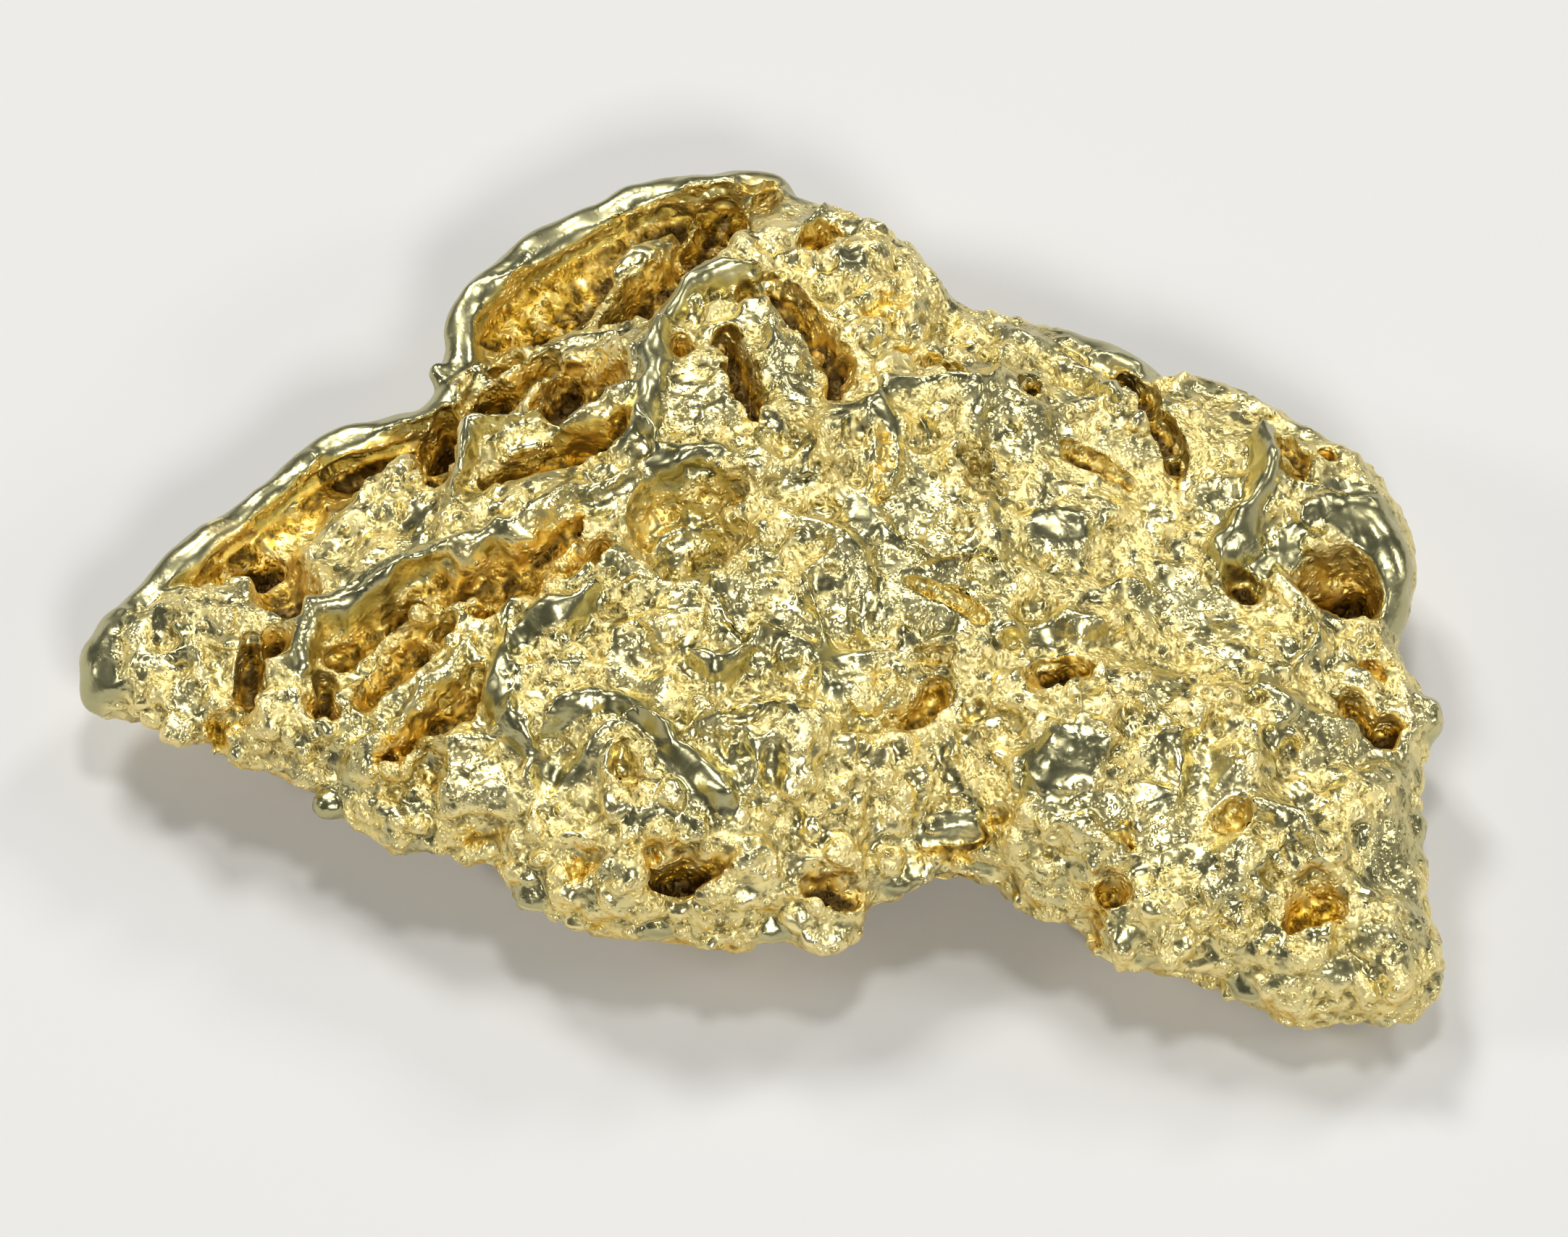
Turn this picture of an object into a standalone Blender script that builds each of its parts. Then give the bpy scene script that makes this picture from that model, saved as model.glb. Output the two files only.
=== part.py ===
"""Gold nugget: one flattened, water-worn lump of native gold, built as one closed solid.

The form is worked out in millimetres and turned into metres at the end, +Z up.  The nugget
lies on its belly on z = 0, with its long axis along X.  A closed skin is carried from a pole on
the upper face, out over a rolled rim and in again to a pole on the belly.  Ridges, grooves, pits
and lumps, each placed by hand, raise and lower that skin.  Round nodules that overhang it are
fused with it by a voxel remesh, and a Decimate modifier brings the whole to a light faceted
body.  The lumps of the belly end in worn flats, all in one plane, which it rests on.
"""
import math

import bmesh
import bpy
import numpy as np

MM = 0.001

# ---- driving dimensions, millimetres -------------------------------------------------------
LENGTH = 12.0            # longest extent, along X
THICKNESS = 2.6          # belly to the highest lump
POLE = (0.34, -0.09)     # plan position of both poles of the skin
CROWN = 0.78             # rise of the upper face from its rolled rim to its middle
BELLY = 0.66             # depth of the underside below the rim, without its lumps
WORN = 0.03              # thickness worn off the lumps that the nugget rests on
RIM_MEAN = 1.02          # height that the rim's rise and fall dies out to at the poles
LEAN = 0.10              # how far raised forms lean towards +Y for each millimetre of height
AROUND = 900             # grid points round the skin
DOWN = 220               # grid points from pole to pole
VOXEL = 0.060            # cell of the remesh that fuses the forms
TRIANGLES = 8800         # faces of the finished body

# Rim, counter-clockwise seen from above: plan x, plan y, height of the rim, radius of its roll.
RIM = (
    (5.76, -0.09, 0.88, 0.30), (5.80, 0.25, 0.91, 0.34), (5.68, 0.78, 0.92, 0.34),
    (5.36, 1.25, 1.02, 0.30), (4.92, 1.55, 1.07, 0.27), (4.47, 1.90, 1.07, 0.25),
    (3.98, 2.12, 1.10, 0.25), (3.70, 2.06, 1.12, 0.20), (3.50, 2.28, 1.14, 0.24),
    (3.06, 2.50, 1.17, 0.26), (2.48, 2.66, 1.17, 0.26), (2.10, 2.69, 1.19, 0.24),
    (1.93, 2.76, 1.20, 0.24), (1.64, 3.11, 1.22, 0.26), (1.19, 3.56, 1.22, 0.28),
    (0.86, 3.84, 1.22, 0.27), (0.54, 4.00, 1.24, 0.22), (0.32, 4.09, 1.26, 0.18),
    (0.16, 4.27, 1.27, 0.17), (-0.05, 4.33, 1.27, 0.20), (-0.64, 4.30, 1.27, 0.25),
    (-1.09, 4.21, 1.25, 0.25), (-1.61, 3.93, 1.22, 0.25), (-1.94, 3.75, 1.22, 0.26),
    (-2.38, 3.37, 1.22, 0.26), (-2.66, 3.10, 1.20, 0.25), (-2.79, 2.82, 1.19, 0.22),
    (-2.80, 2.55, 1.17, 0.20), (-2.85, 2.34, 1.17, 0.18), (-2.98, 1.88, 1.16, 0.20),
    (-3.40, 1.63, 1.15, 0.24), (-3.84, 1.49, 1.12, 0.25), (-4.16, 1.29, 1.09, 0.25),
    (-4.51, 0.95, 1.07, 0.25), (-4.79, 0.63, 1.10, 0.25), (-5.17, 0.26, 1.06, 0.25),
    (-5.45, 0.00, 0.98, 0.26), (-5.66, -0.22, 0.94, 0.29), (-5.86, -0.42, 0.88, 0.32),
    (-5.97, -0.70, 0.85, 0.34), (-5.99, -0.96, 0.84, 0.33), (-5.85, -1.17, 0.85, 0.28),
    (-5.50, -1.22, 0.88, 0.22), (-5.28, -1.38, 0.90, 0.20), (-4.87, -1.64, 0.92, 0.20),
    (-4.60, -1.82, 0.94, 0.22), (-4.15, -1.97, 0.95, 0.22), (-3.82, -2.06, 0.95, 0.22),
    (-3.60, -2.40, 0.95, 0.24), (-3.38, -2.58, 0.94, 0.24), (-3.18, -2.75, 0.93, 0.26),
    (-2.58, -2.81, 0.91, 0.26), (-2.22, -2.92, 0.90, 0.26), (-2.14, -3.15, 0.90, 0.28),
    (-1.65, -3.46, 0.87, 0.30), (-1.17, -3.57, 0.83, 0.30), (-0.67, -3.61, 0.80, 0.28),
    (-0.10, -3.70, 0.80, 0.28), (0.10, -3.58, 0.80, 0.26), (0.60, -3.70, 0.80, 0.26),
    (0.93, -3.48, 0.80, 0.26), (1.03, -3.24, 0.84, 0.24), (1.60, -3.03, 0.93, 0.24),
    (2.08, -3.06, 0.90, 0.24), (2.24, -3.24, 0.87, 0.26), (2.84, -3.44, 0.80, 0.28),
    (3.14, -3.76, 0.74, 0.28), (3.48, -3.84, 0.69, 0.28), (4.10, -3.97, 0.60, 0.30),
    (4.48, -4.17, 0.56, 0.32), (4.86, -4.24, 0.52, 0.34), (5.49, -4.17, 0.50, 0.36),
    (5.82, -3.98, 0.52, 0.36), (5.90, -3.62, 0.56, 0.34), (5.81, -2.74, 0.68, 0.30),
    (5.76, -2.04, 0.77, 0.26), (5.80, -1.76, 0.82, 0.26), (5.92, -1.50, 0.84, 0.28),
    (5.80, -0.95, 0.86, 0.26), (5.61, -0.56, 0.90, 0.24),
)

# Broad swells and basins of the upper face: x, y, half-length, half-width, turn in degrees, rise.
SWELLS = (
    (0.20, 1.00, 2.90, 2.00, 35.0, 0.30), (0.10, 3.00, 1.10, 1.30, 0.0, 0.12),
    (3.30, 0.20, 1.30, 0.90, -10.0, -0.16), (-3.75, 0.10, 0.85, 0.60, 35.0, -0.26),
    (-1.75, 2.60, 0.85, 1.10, -30.0, -0.20), (-0.50, -2.60, 2.60, 0.80, -8.0, 0.20),
    (4.60, -2.80, 1.30, 1.30, 20.0, 0.16), (5.00, 0.85, 0.80, 0.70, -30.0, 0.22),
    (2.80, -2.15, 0.80, 0.60, 10.0, 0.26), (-5.55, -0.70, 0.50, 0.50, 0.0, 0.05),
    (1.70, -2.60, 0.70, 0.45, 0.0, -0.10), (4.10, -0.90, 0.90, 0.70, 0.0, -0.10),
)

# Raised rims, ropes and ribs: half-width, rise, then the points of the crest.
RIDGES = (
    (0.20, 0.16, ((-5.72, -0.62), (-5.32, -0.20), (-4.92, 0.08), (-4.45, 0.58), (-4.00, 1.02),
                  (-3.40, 1.28), (-2.98, 1.48))),
    (0.20, 0.16, ((-2.66, 2.42), (-2.58, 2.80), (-2.36, 3.14), (-2.00, 3.44), (-1.55, 3.72),
                  (-1.05, 3.98), (-0.60, 4.10), (-0.10, 4.14))),
    (0.10, 0.14, ((-0.05, 3.05), (-0.45, 3.00), (-0.68, 2.75), (-0.82, 2.45), (-0.92, 2.10),
                  (-0.98, 1.65), (-1.00, 1.30), (-0.95, 0.80))),
    (0.11, 0.13, ((-1.42, -0.52), (-1.55, -0.75), (-1.90, -0.90), (-2.12, -1.10),
                  (-2.26, -1.40), (-2.20, -1.75), (-1.95, -2.15))),
    (0.11, 0.14, ((-1.75, -1.82), (-1.35, -1.75), (-1.05, -1.85), (-0.80, -2.10),
                  (-0.55, -2.40), (-0.35, -2.65))),
    (0.09, 0.12, ((-0.60, -1.28), (-0.30, -1.38), (-0.05, -1.18), (0.10, -1.08),
                  (0.26, -1.18), (0.22, -1.42))),
    (0.13, 0.20, ((-1.15, 0.66), (-1.55, 0.42), (-1.90, 0.20), (-2.20, 0.02), (-2.55, -0.10),
                  (-3.10, -0.18), (-3.62, -0.42))),
    (0.11, 0.14, ((-2.95, -0.30), (-3.40, -0.52), (-3.88, -0.72), (-3.92, -1.25))),
    (0.10, 0.14, ((-1.75, 1.10), (-1.45, 1.28), (-1.20, 1.50))),
    (0.12, 0.16, ((-0.80, 3.62), (-1.08, 3.42), (-1.32, 3.12))),
    (0.09, 0.13, ((-2.62, 1.10), (-2.68, 0.70), (-2.78, 0.30))),
    (0.10, 0.12, ((-1.95, 1.40), (-2.30, 1.22), (-2.62, 1.18))),
    (0.10, 0.14, ((4.42, 1.38), (4.36, 0.75), (4.12, 0.22), (4.05, -0.10))),
    (0.10, 0.12, ((2.25, -1.02), (2.55, -0.92), (2.88, -0.92))),
    (0.11, 0.13, ((4.40, -1.35), (4.72, -1.62), (5.10, -1.66))),
    (0.09, 0.12, ((4.25, -2.42), (4.62, -2.52), (4.75, -2.82))),
    (0.12, 0.14, ((1.30, -2.72), (1.75, -2.62), (2.15, -2.78))),
    (0.12, 0.10, ((0.35, 1.70), (0.45, 1.10), (0.20, 0.62), (-0.35, 0.40))),
    (0.13, 0.10, ((1.25, 1.90), (1.50, 1.25), (1.45, 0.60), (1.75, 0.10))),
    (0.14, 0.10, ((-0.20, -0.60), (0.50, -0.75), (1.20, -0.55), (1.80, -0.60))),
    (0.12, 0.12, ((3.10, 1.60), (3.35, 1.15), (3.60, 0.85), (3.75, 0.25))),
)

# Grooves and cracks: half-width, depth, then the points of the floor.
GROOVES = (
    (0.15, 0.34, ((-0.80, 3.90), (-1.38, 3.38), (-1.78, 2.90), (-2.05, 2.55))),
    (0.18, 0.42, ((-0.38, 3.90), (-0.52, 3.30), (-0.72, 2.92), (-1.22, 2.50))),
    (0.10, 0.22, ((-1.85, 1.92), (-2.10, 1.80), (-2.38, 1.66))),
    (0.12, 0.28, ((-1.08, 1.22), (-1.70, 0.90), (-2.32, 0.66))),
    (0.13, 0.26, ((-1.62, 0.04), (-2.20, -0.22), (-2.68, -0.34), (-3.10, -0.50))),
    (0.11, 0.22, ((-1.40, -0.26), (-1.90, -0.46), (-2.42, -0.58))),
    (0.10, 0.22, ((-3.05, -0.62), (-3.40, -0.72), (-3.70, -0.92))),
    (0.12, 0.26, ((-2.78, -0.88), (-3.12, -1.10), (-3.46, -1.46))),
    (0.12, 0.26, ((-2.45, -1.50), (-2.78, -1.76), (-3.22, -2.06))),
    (0.14, 0.24, ((-2.84, 1.38), (-2.92, 0.92), (-2.98, 0.52))),
    (0.13, 0.22, ((-4.52, 0.28), (-4.22, -0.12), (-4.12, -0.62))),
    (0.10, 0.24, ((-0.30, 2.20), (-0.14, 1.80), (0.00, 1.38))),
    (0.11, 0.24, ((0.10, 2.78), (0.34, 2.38), (0.60, 2.02), (0.66, 1.42))),
    (0.08, 0.20, ((0.98, 1.20), (1.02, 0.80), (1.00, 0.42))),
    (0.07, 0.18, ((2.72, 0.92), (3.00, 0.84), (3.32, 0.74))),
    (0.11, 0.34, ((3.14, 2.00), (3.42, 1.76), (3.56, 1.56), (3.62, 1.32), (3.68, 1.02))),
    (0.08, 0.18, ((4.62, 1.28), (4.72, 0.95), (4.70, 0.70))),
    (0.08, 0.16, ((1.12, -2.10), (1.36, -2.00), (1.58, -1.80))),
    (0.08, 0.15, ((1.35, -0.72), (1.66, -0.86), (1.90, -1.10))),
    (0.10, 0.18, ((5.12, -1.42), (5.32, -1.66), (5.52, -1.60))),
    (0.12, 0.22, ((-4.42, -1.00), (-4.38, -1.45))), (0.10, 0.20, ((-3.80, -1.30), (-3.76, -1.72))),
    (0.12, 0.24, ((0.35, -3.20), (0.62, -3.45), (0.70, -3.75))),
    (0.14, 0.26, ((-0.85, -3.20), (-0.50, -3.35), (-0.45, -3.60))),
)

# Pits: x, y, half-length, half-width, turn in degrees, depth, rise of the rim round it.
PITS = (
    (5.08, -0.10, 0.36, 0.34, 0.0, 0.60, 0.06), (-0.60, -0.02, 0.50, 0.46, 0.0, 0.34, 0.08),
    (-1.60, 1.62, 0.34, 0.34, 25.0, 0.34, 0.03), (-0.70, 1.92, 0.13, 0.20, 0.0, 0.22, 0.03),
    (-0.10, 2.60, 0.13, 0.13, 0.0, 0.22, 0.03), (0.02, 4.12, 0.22, 0.11, 0.0, 0.26, 0.05),
    (0.55, 3.20, 0.15, 0.20, -20.0, 0.18, 0.03), (1.10, 2.55, 0.22, 0.12, 30.0, 0.14, 0.02),
    (2.40, 1.45, 0.13, 0.13, 0.0, 0.20, 0.05), (0.85, 0.95, 0.16, 0.16, 0.0, 0.16, 0.07),
    (1.85, 0.60, 0.18, 0.18, 0.0, 0.16, 0.07), (-2.80, -2.35, 0.17, 0.15, 0.0, 0.16, 0.06),
    (4.95, 1.02, 0.13, 0.13, 0.0, 0.20, 0.03), (4.28, -0.35, 0.18, 0.15, 0.0, 0.24, 0.03),
    (2.55, -1.52, 0.30, 0.19, 20.0, 0.30, 0.04), (1.80, -1.95, 0.16, 0.10, 30.0, 0.16, 0.03),
    (1.55, -1.45, 0.18, 0.10, -10.0, 0.16, 0.03), (1.05, -1.65, 0.14, 0.10, 40.0, 0.14, 0.03),
    (4.10, -2.65, 0.24, 0.13, 15.0, 0.18, 0.03), (4.70, -3.42, 0.30, 0.26, 0.0, 0.28, 0.04),
    (3.15, -2.98, 0.15, 0.11, 0.0, 0.16, 0.03), (-4.20, -1.00, 0.13, 0.12, 0.0, 0.16, 0.02),
    (-4.70, -1.62, 0.14, 0.12, 0.0, 0.20, 0.02), (-2.30, 2.10, 0.16, 0.12, 30.0, 0.16, 0.03),
    (-2.42, 2.62, 0.12, 0.12, 0.0, 0.16, 0.03), (1.30, -3.12, 0.30, 0.16, 0.0, 0.28, 0.00),
)

# Lumps on the upper face: x, y, half-length, half-width, turn in degrees, rise.
LUMPS = (
    (2.75, -2.20, 0.46, 0.40, 0.0, 0.26), (-1.25, -3.30, 0.34, 0.26, 0.0, 0.18),
    (-1.75, -3.05, 0.30, 0.28, 0.0, 0.16), (-0.05, -3.25, 0.30, 0.26, 0.0, 0.16),
    (2.78, -3.00, 0.30, 0.24, 20.0, 0.16), (3.38, -3.25, 0.30, 0.26, 30.0, 0.16),
    (-5.15, -0.68, 0.20, 0.16, 0.0, 0.12), (-4.76, -0.82, 0.20, 0.15, 0.0, 0.12),
    (-3.45, -2.20, 0.30, 0.24, 0.0, 0.14), (-2.20, -2.55, 0.34, 0.26, 20.0, 0.14),
    (-0.70, -2.95, 0.30, 0.26, 0.0, 0.12), (0.30, -2.35, 0.32, 0.40, 10.0, 0.14),
    (1.05, -2.65, 0.30, 0.26, 0.0, 0.12), (0.80, 3.40, 0.28, 0.22, -30.0, 0.12),
    (1.50, 2.60, 0.26, 0.24, 0.0, 0.10), (2.70, 2.05, 0.34, 0.22, -15.0, 0.14),
    (4.35, 1.60, 0.26, 0.20, 0.0, 0.14), (5.20, -2.50, 0.32, 0.30, 0.0, 0.14),
    (3.80, -1.80, 0.30, 0.26, 0.0, 0.10), (5.35, -3.55, 0.36, 0.34, 0.0, 0.12),
    (0.05, 0.35, 0.28, 0.20, 20.0, 0.12), (-2.20, 2.38, 0.22, 0.18, 0.0, 0.14),
    (2.90, 0.25, 0.34, 0.26, 0.0, 0.10), (4.00, -3.35, 0.34, 0.28, 0.0, 0.12),
)

# Nodules fused to the skin, overhanging it: x, y, z, radii along X, Y and Z.
NODULES = (
    (-2.90, 2.10, 1.32, 0.11, 0.11, 0.11), (-3.72, -2.30, 0.95, 0.16, 0.15, 0.15),
    (5.84, -1.34, 0.92, 0.20, 0.24, 0.22), (0.00, -1.20, 1.92, 0.12, 0.11, 0.12),
    (5.02, 0.36, 1.42, 0.42, 0.24, 0.22), (5.45, 0.15, 1.25, 0.26, 0.34, 0.22),
    (-5.72, -0.78, 0.92, 0.28, 0.34, 0.30), (-1.72, 1.98, 1.66, 0.09, 0.09, 0.09),
    (-2.26, 1.16, 1.56, 0.10, 0.09, 0.09), (-3.05, -2.70, 0.90, 0.15, 0.13, 0.14),
    (-0.90, -3.55, 0.78, 0.14, 0.13, 0.14), (0.10, -3.62, 0.80, 0.15, 0.14, 0.14),
    (3.35, -3.74, 0.74, 0.18, 0.15, 0.16), (4.25, -4.02, 0.56, 0.18, 0.14, 0.16),
    (1.20, -3.18, 0.92, 0.15, 0.12, 0.12), (5.72, -2.45, 0.82, 0.16, 0.20, 0.18),
    (-1.95, -3.30, 0.90, 0.17, 0.15, 0.16), (3.86, 2.02, 1.26, 0.16, 0.13, 0.14),
)

# Forms of the underside, raised towards the floor or hollowed: x, y, radii, turn, drop.
UNDERSIDE = (
    (-1.75, 0.70, 0.80, 0.55, 20.0, 0.62), (1.80, 1.30, 0.85, 0.55, -10.0, 0.66),
    (2.60, -1.45, 0.80, 0.58, 15.0, 0.50), (-1.10, -1.55, 0.70, 0.50, 0.0, 0.56),
    (0.30, 2.70, 0.80, 0.60, 60.0, 0.24), (0.35, -0.15, 0.80, 0.60, 0.0, -0.12),
    (-3.40, -0.30, 0.70, 0.40, 10.0, 0.26), (4.30, -0.10, 0.60, 0.50, 0.0, 0.26),
    (0.95, -2.10, 0.50, 0.32, 30.0, -0.28), (-1.20, 2.10, 0.50, 0.32, 40.0, -0.26),
    (3.30, 1.40, 0.50, 0.30, -20.0, -0.20), (4.40, -2.70, 0.80, 0.55, 20.0, 0.26),
    (-2.60, -1.70, 0.55, 0.32, 15.0, -0.20), (-4.60, -0.70, 0.50, 0.35, 0.0, 0.16),
    (-0.30, -2.90, 0.60, 0.30, 0.0, 0.18), (-3.90, 0.60, 0.50, 0.25, 45.0, -0.12),
    (4.90, -1.60, 0.35, 0.45, 0.0, -0.16), (3.60, -0.60, 0.30, 0.30, 0.0, -0.20),
)

# Folds of the underside: half-width, drop (negative is a crack), then the points of the line.
FOLDS = (
    (0.14, 0.16, ((-4.60, 0.05), (-3.60, 0.30), (-2.90, 0.85), (-2.40, 1.60), (-1.90, 2.60))),
    (0.12, -0.20, ((-0.55, 3.40), (-0.35, 2.50), (-0.10, 1.70), (0.45, 1.20), (0.60, 0.50))),
    (0.13, 0.15, ((2.10, 2.00), (2.90, 0.70), (3.30, -0.20), (4.10, -0.90), (4.90, -1.00))),
    (0.11, -0.18, ((-3.70, -1.20), (-2.60, -0.80), (-1.80, -0.50), (-0.60, -0.60))),
    (0.12, -0.18, ((1.30, -2.60), (1.70, -1.70), (1.50, -0.80), (1.90, -0.10))),
    (0.13, 0.14, ((3.30, -3.20), (3.90, -2.20), (4.90, -2.00), (5.30, -3.00))),
)


# ---- helpers ---------------------------------------------------------------------------------
def smooth_path(points, count, closed=False):
    """Catmull-Rom curve through the rows of points, read at count even steps."""
    rows = np.array(points, float)
    if closed:
        rows = np.vstack([rows[-1:], rows, rows[:2]])
    else:
        rows = np.vstack([2 * rows[:1] - rows[1:2], rows, 2 * rows[-1:] - rows[-2:-1]])
    spans = len(rows) - 3
    where = np.linspace(0.0, spans, count, endpoint=not closed)
    k = np.minimum(where.astype(int), spans - 1)
    t = (where - k)[:, None]
    a, b, c, d = rows[k], rows[k + 1], rows[k + 2], rows[k + 3]
    return 0.5 * (2 * b + (c - a) * t + (2 * a - 5 * b + 4 * c - d) * t ** 2
                  + (3 * b - a - 3 * c + d) * t ** 3)


def step(value, low, high):
    """Smooth rise from 0 at low to 1 at high."""
    t = np.clip((value - low) / (high - low), 0.0, 1.0)
    return t * t * (3.0 - 2.0 * t)


def hashed(ix, iy, iz, seed):
    """Repeatable pseudo-random value from -1 to 1 for each lattice point."""
    n = (ix * 374761393 + iy * 668265263 + iz * 2147483647 + seed * 1274126177) & 0xFFFFFFFF
    n = ((n ^ (n >> 13)) * 1274126177) & 0xFFFFFFFF
    n = n ^ (n >> 16)
    return n / 2147483647.5 - 1.0


def noise(x, y, z, cell, seed):
    """Value noise: hashed lattice values blended with a quintic curve."""
    px, py, pz = x / cell, y / cell, z / cell
    ix, iy, iz = (np.floor(v).astype(np.int64) for v in (px, py, pz))
    fx, fy, fz = (v - i for v, i in ((px, ix), (py, iy), (pz, iz)))
    ux, uy, uz = (f ** 3 * (f * (6 * f - 15) + 10) for f in (fx, fy, fz))
    total = np.zeros_like(px)
    for dx, wx in ((0, 1 - ux), (1, ux)):
        for dy, wy in ((0, 1 - uy), (1, uy)):
            for dz, wz in ((0, 1 - uz), (1, uz)):
                total += hashed(ix + dx, iy + dy, iz + dz, seed) * wx * wy * wz
    return total


def path_distance(x, y, path, reach):
    """Distance from each plan point to a polyline; points past reach keep the value reach."""
    far = np.full(x.shape, reach)
    low, high = path.min(0) - reach, path.max(0) + reach
    near = (x > low[0]) & (x < high[0]) & (y > low[1]) & (y < high[1])
    px, py, best = x[near], y[near], far[near]
    for (ax, ay), (bx, by) in zip(path[:-1], path[1:]):
        dx, dy = bx - ax, by - ay
        t = np.clip(((px - ax) * dx + (py - ay) * dy) / (dx * dx + dy * dy), 0.0, 1.0)
        best = np.minimum(best, np.hypot(px - ax - t * dx, py - ay - t * dy))
    far[near] = best
    return far


def oval(x, y, cx, cy, rx, ry, turn):
    """Radius of each plan point in an ellipse's own measure: 1 on the ellipse."""
    c, s = math.cos(math.radians(turn)), math.sin(math.radians(turn))
    dx, dy = x - cx, y - cy
    return np.hypot((c * dx + s * dy) / rx, (c * dy - s * dx) / ry)


def relief(x, y):
    """Height that the hand-placed forms add to the upper face at each plan point."""
    h = np.zeros_like(x)
    for cx, cy, rx, ry, turn, rise in SWELLS:
        h += rise * np.exp(-oval(x, y, cx, cy, rx, ry, turn) ** 2)
    wx = x + 0.07 * noise(x, y, 0.0, 0.7, 11) + 0.03 * noise(x, y, 0.0, 0.28, 12)
    wy = y + 0.07 * noise(x, y, 0.0, 0.7, 13) + 0.03 * noise(x, y, 0.0, 0.28, 14)
    for width, rise, points in RIDGES:
        d = path_distance(wx, wy, smooth_path(points, 6 * len(points)), 2.0 * width)
        h += rise * (1.0 - step(d, 0.0, 2.0 * width)) ** 0.8
    for width, depth, points in GROOVES:
        d = path_distance(wx, wy, smooth_path(points, 6 * len(points)), 1.9 * width)
        h -= depth * (1.0 - step(d, 0.25 * width, 1.9 * width))
    for cx, cy, rx, ry, turn, depth, rise in PITS:
        q = oval(wx, wy, cx, cy, rx, ry, turn)
        h += rise * np.exp(-((q - 1.25) / 0.28) ** 2) - depth * (1.0 - step(q, 0.35, 1.2))
    for cx, cy, rx, ry, turn, rise in LUMPS:
        q = oval(wx, wy, cx, cy, rx, ry, turn)
        h += rise * np.clip(1.0 - q ** 2 / 1.4, 0.0, 1.0) ** 0.8
    return h


def underside(x, y):
    """Drop that the forms of the belly add at each plan point."""
    h = np.zeros_like(x)
    for cx, cy, rx, ry, turn, drop in UNDERSIDE:
        h += drop * np.exp(-oval(x, y, cx, cy, rx, ry, turn) ** 2)
    wx = x + 0.10 * noise(x, y, 0.0, 0.8, 31)
    wy = y + 0.10 * noise(x, y, 0.0, 0.8, 32)
    for width, drop, points in FOLDS:
        d = path_distance(wx, wy, smooth_path(points, 6 * len(points)), 2.0 * width)
        h += drop * (1.0 - step(d, 0.0, 2.0 * width))
    return h


def rim_at(angles):
    """Plan radius, height and roll radius of the rim at each polar angle about POLE."""
    curve = smooth_path(RIM, 12 * len(RIM), closed=True)
    dx, dy = curve[:, 0] - POLE[0], curve[:, 1] - POLE[1]
    angle = np.unwrap(np.arctan2(dy, dx))
    keep = np.maximum.accumulate(angle) == angle
    angle, radius = angle[keep], np.hypot(dx, dy)[keep]
    height, roll = curve[keep, 2], curve[keep, 3]
    return tuple(np.interp(angles, angle, v, period=2 * math.pi) for v in (radius, height, roll))


def skin():
    """Closed skin: rings from the upper pole (t = -1) over the rim (t = 0) to the belly (t = 1)."""
    theta = np.linspace(0.0, 2 * math.pi, AROUND, endpoint=False)
    t = np.linspace(-1.0, 1.0, DOWN)[:, None]
    radius, height, roll = (v[None, :] for v in rim_at(theta))
    inner = np.sin(0.5 * math.pi * (1.0 - np.abs(t)) ** 0.75)
    rho = np.clip(inner, 1e-5, 1.0)
    x = POLE[0] + rho * radius * np.cos(theta)
    y = POLE[1] + rho * radius * np.sin(theta)
    inside = (1.0 - rho) * radius
    edge = np.clip(inside / roll, 0.0, 1.0)
    rolled = roll * np.sqrt(1.0 - (1.0 - edge) ** 2)
    wake = step(inside, 0.0, 0.45)
    rim = RIM_MEAN + (height - RIM_MEAN) * rho ** 2.0
    grain = 0.05 * noise(x, y, 0.0, 0.55, 21) + 0.03 * noise(x, y, 0.0, 0.27, 22)
    lumps = 0.09 * noise(x, y, 0.0, 0.9, 23) + 0.06 * noise(x, y, 0.0, 0.45, 24)
    top = rim + rolled + CROWN * (1.0 - rho ** 2.4) ** 0.9 + wake * (relief(x, y) + grain)
    low = rim - rolled - BELLY * (1.0 - rho ** 2.0) ** 1.3 - wake * (underside(x, y) + lumps)
    z = np.where(t < 0.0, top, np.maximum(low, 0.0))
    raised = np.where(t < 0.0, wake * np.clip(relief(x, y), 0.0, 0.4), 0.0)
    return x, y + LEAN * raised, z


def grid_mesh(name, x, y, z):
    """Mesh of a grid that closes round its columns, with a pole joining its first and last row."""
    rows, cols = x.shape
    points = np.stack([x, y, z], -1)[1:-1].reshape(-1, 3)
    poles = np.array([[x[0, 0], y[0, 0], z[0].mean()], [x[-1, 0], y[-1, 0], z[-1].mean()]])
    r, c = np.meshgrid(np.arange(rows - 3), np.arange(cols), indexing="ij")
    n = (c + 1) % cols
    quads = np.stack([r * cols + c, (r + 1) * cols + c, (r + 1) * cols + n, r * cols + n], -1)
    last, k = (rows - 3) * cols, np.arange(cols)
    first = len(points)
    caps = np.vstack([np.stack([0 * k + first, k, (k + 1) % cols], -1),
                      np.stack([0 * k + first + 1, last + (k + 1) % cols, last + k], -1)])
    mesh = bpy.data.meshes.new(name)
    mesh.from_pydata(np.vstack([points, poles]).tolist(), [],
                     quads.reshape(-1, 4).tolist() + caps.tolist())
    return mesh


def add_nodules(bm):
    """Ellipsoids that stand proud of the skin."""
    for x, y, z, rx, ry, rz in NODULES:
        made = bmesh.ops.create_icosphere(bm, subdivisions=4, radius=1.0)
        for v in made["verts"]:
            v.co = (x + rx * v.co.x, y + ry * v.co.y, z + rz * v.co.z)


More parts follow.
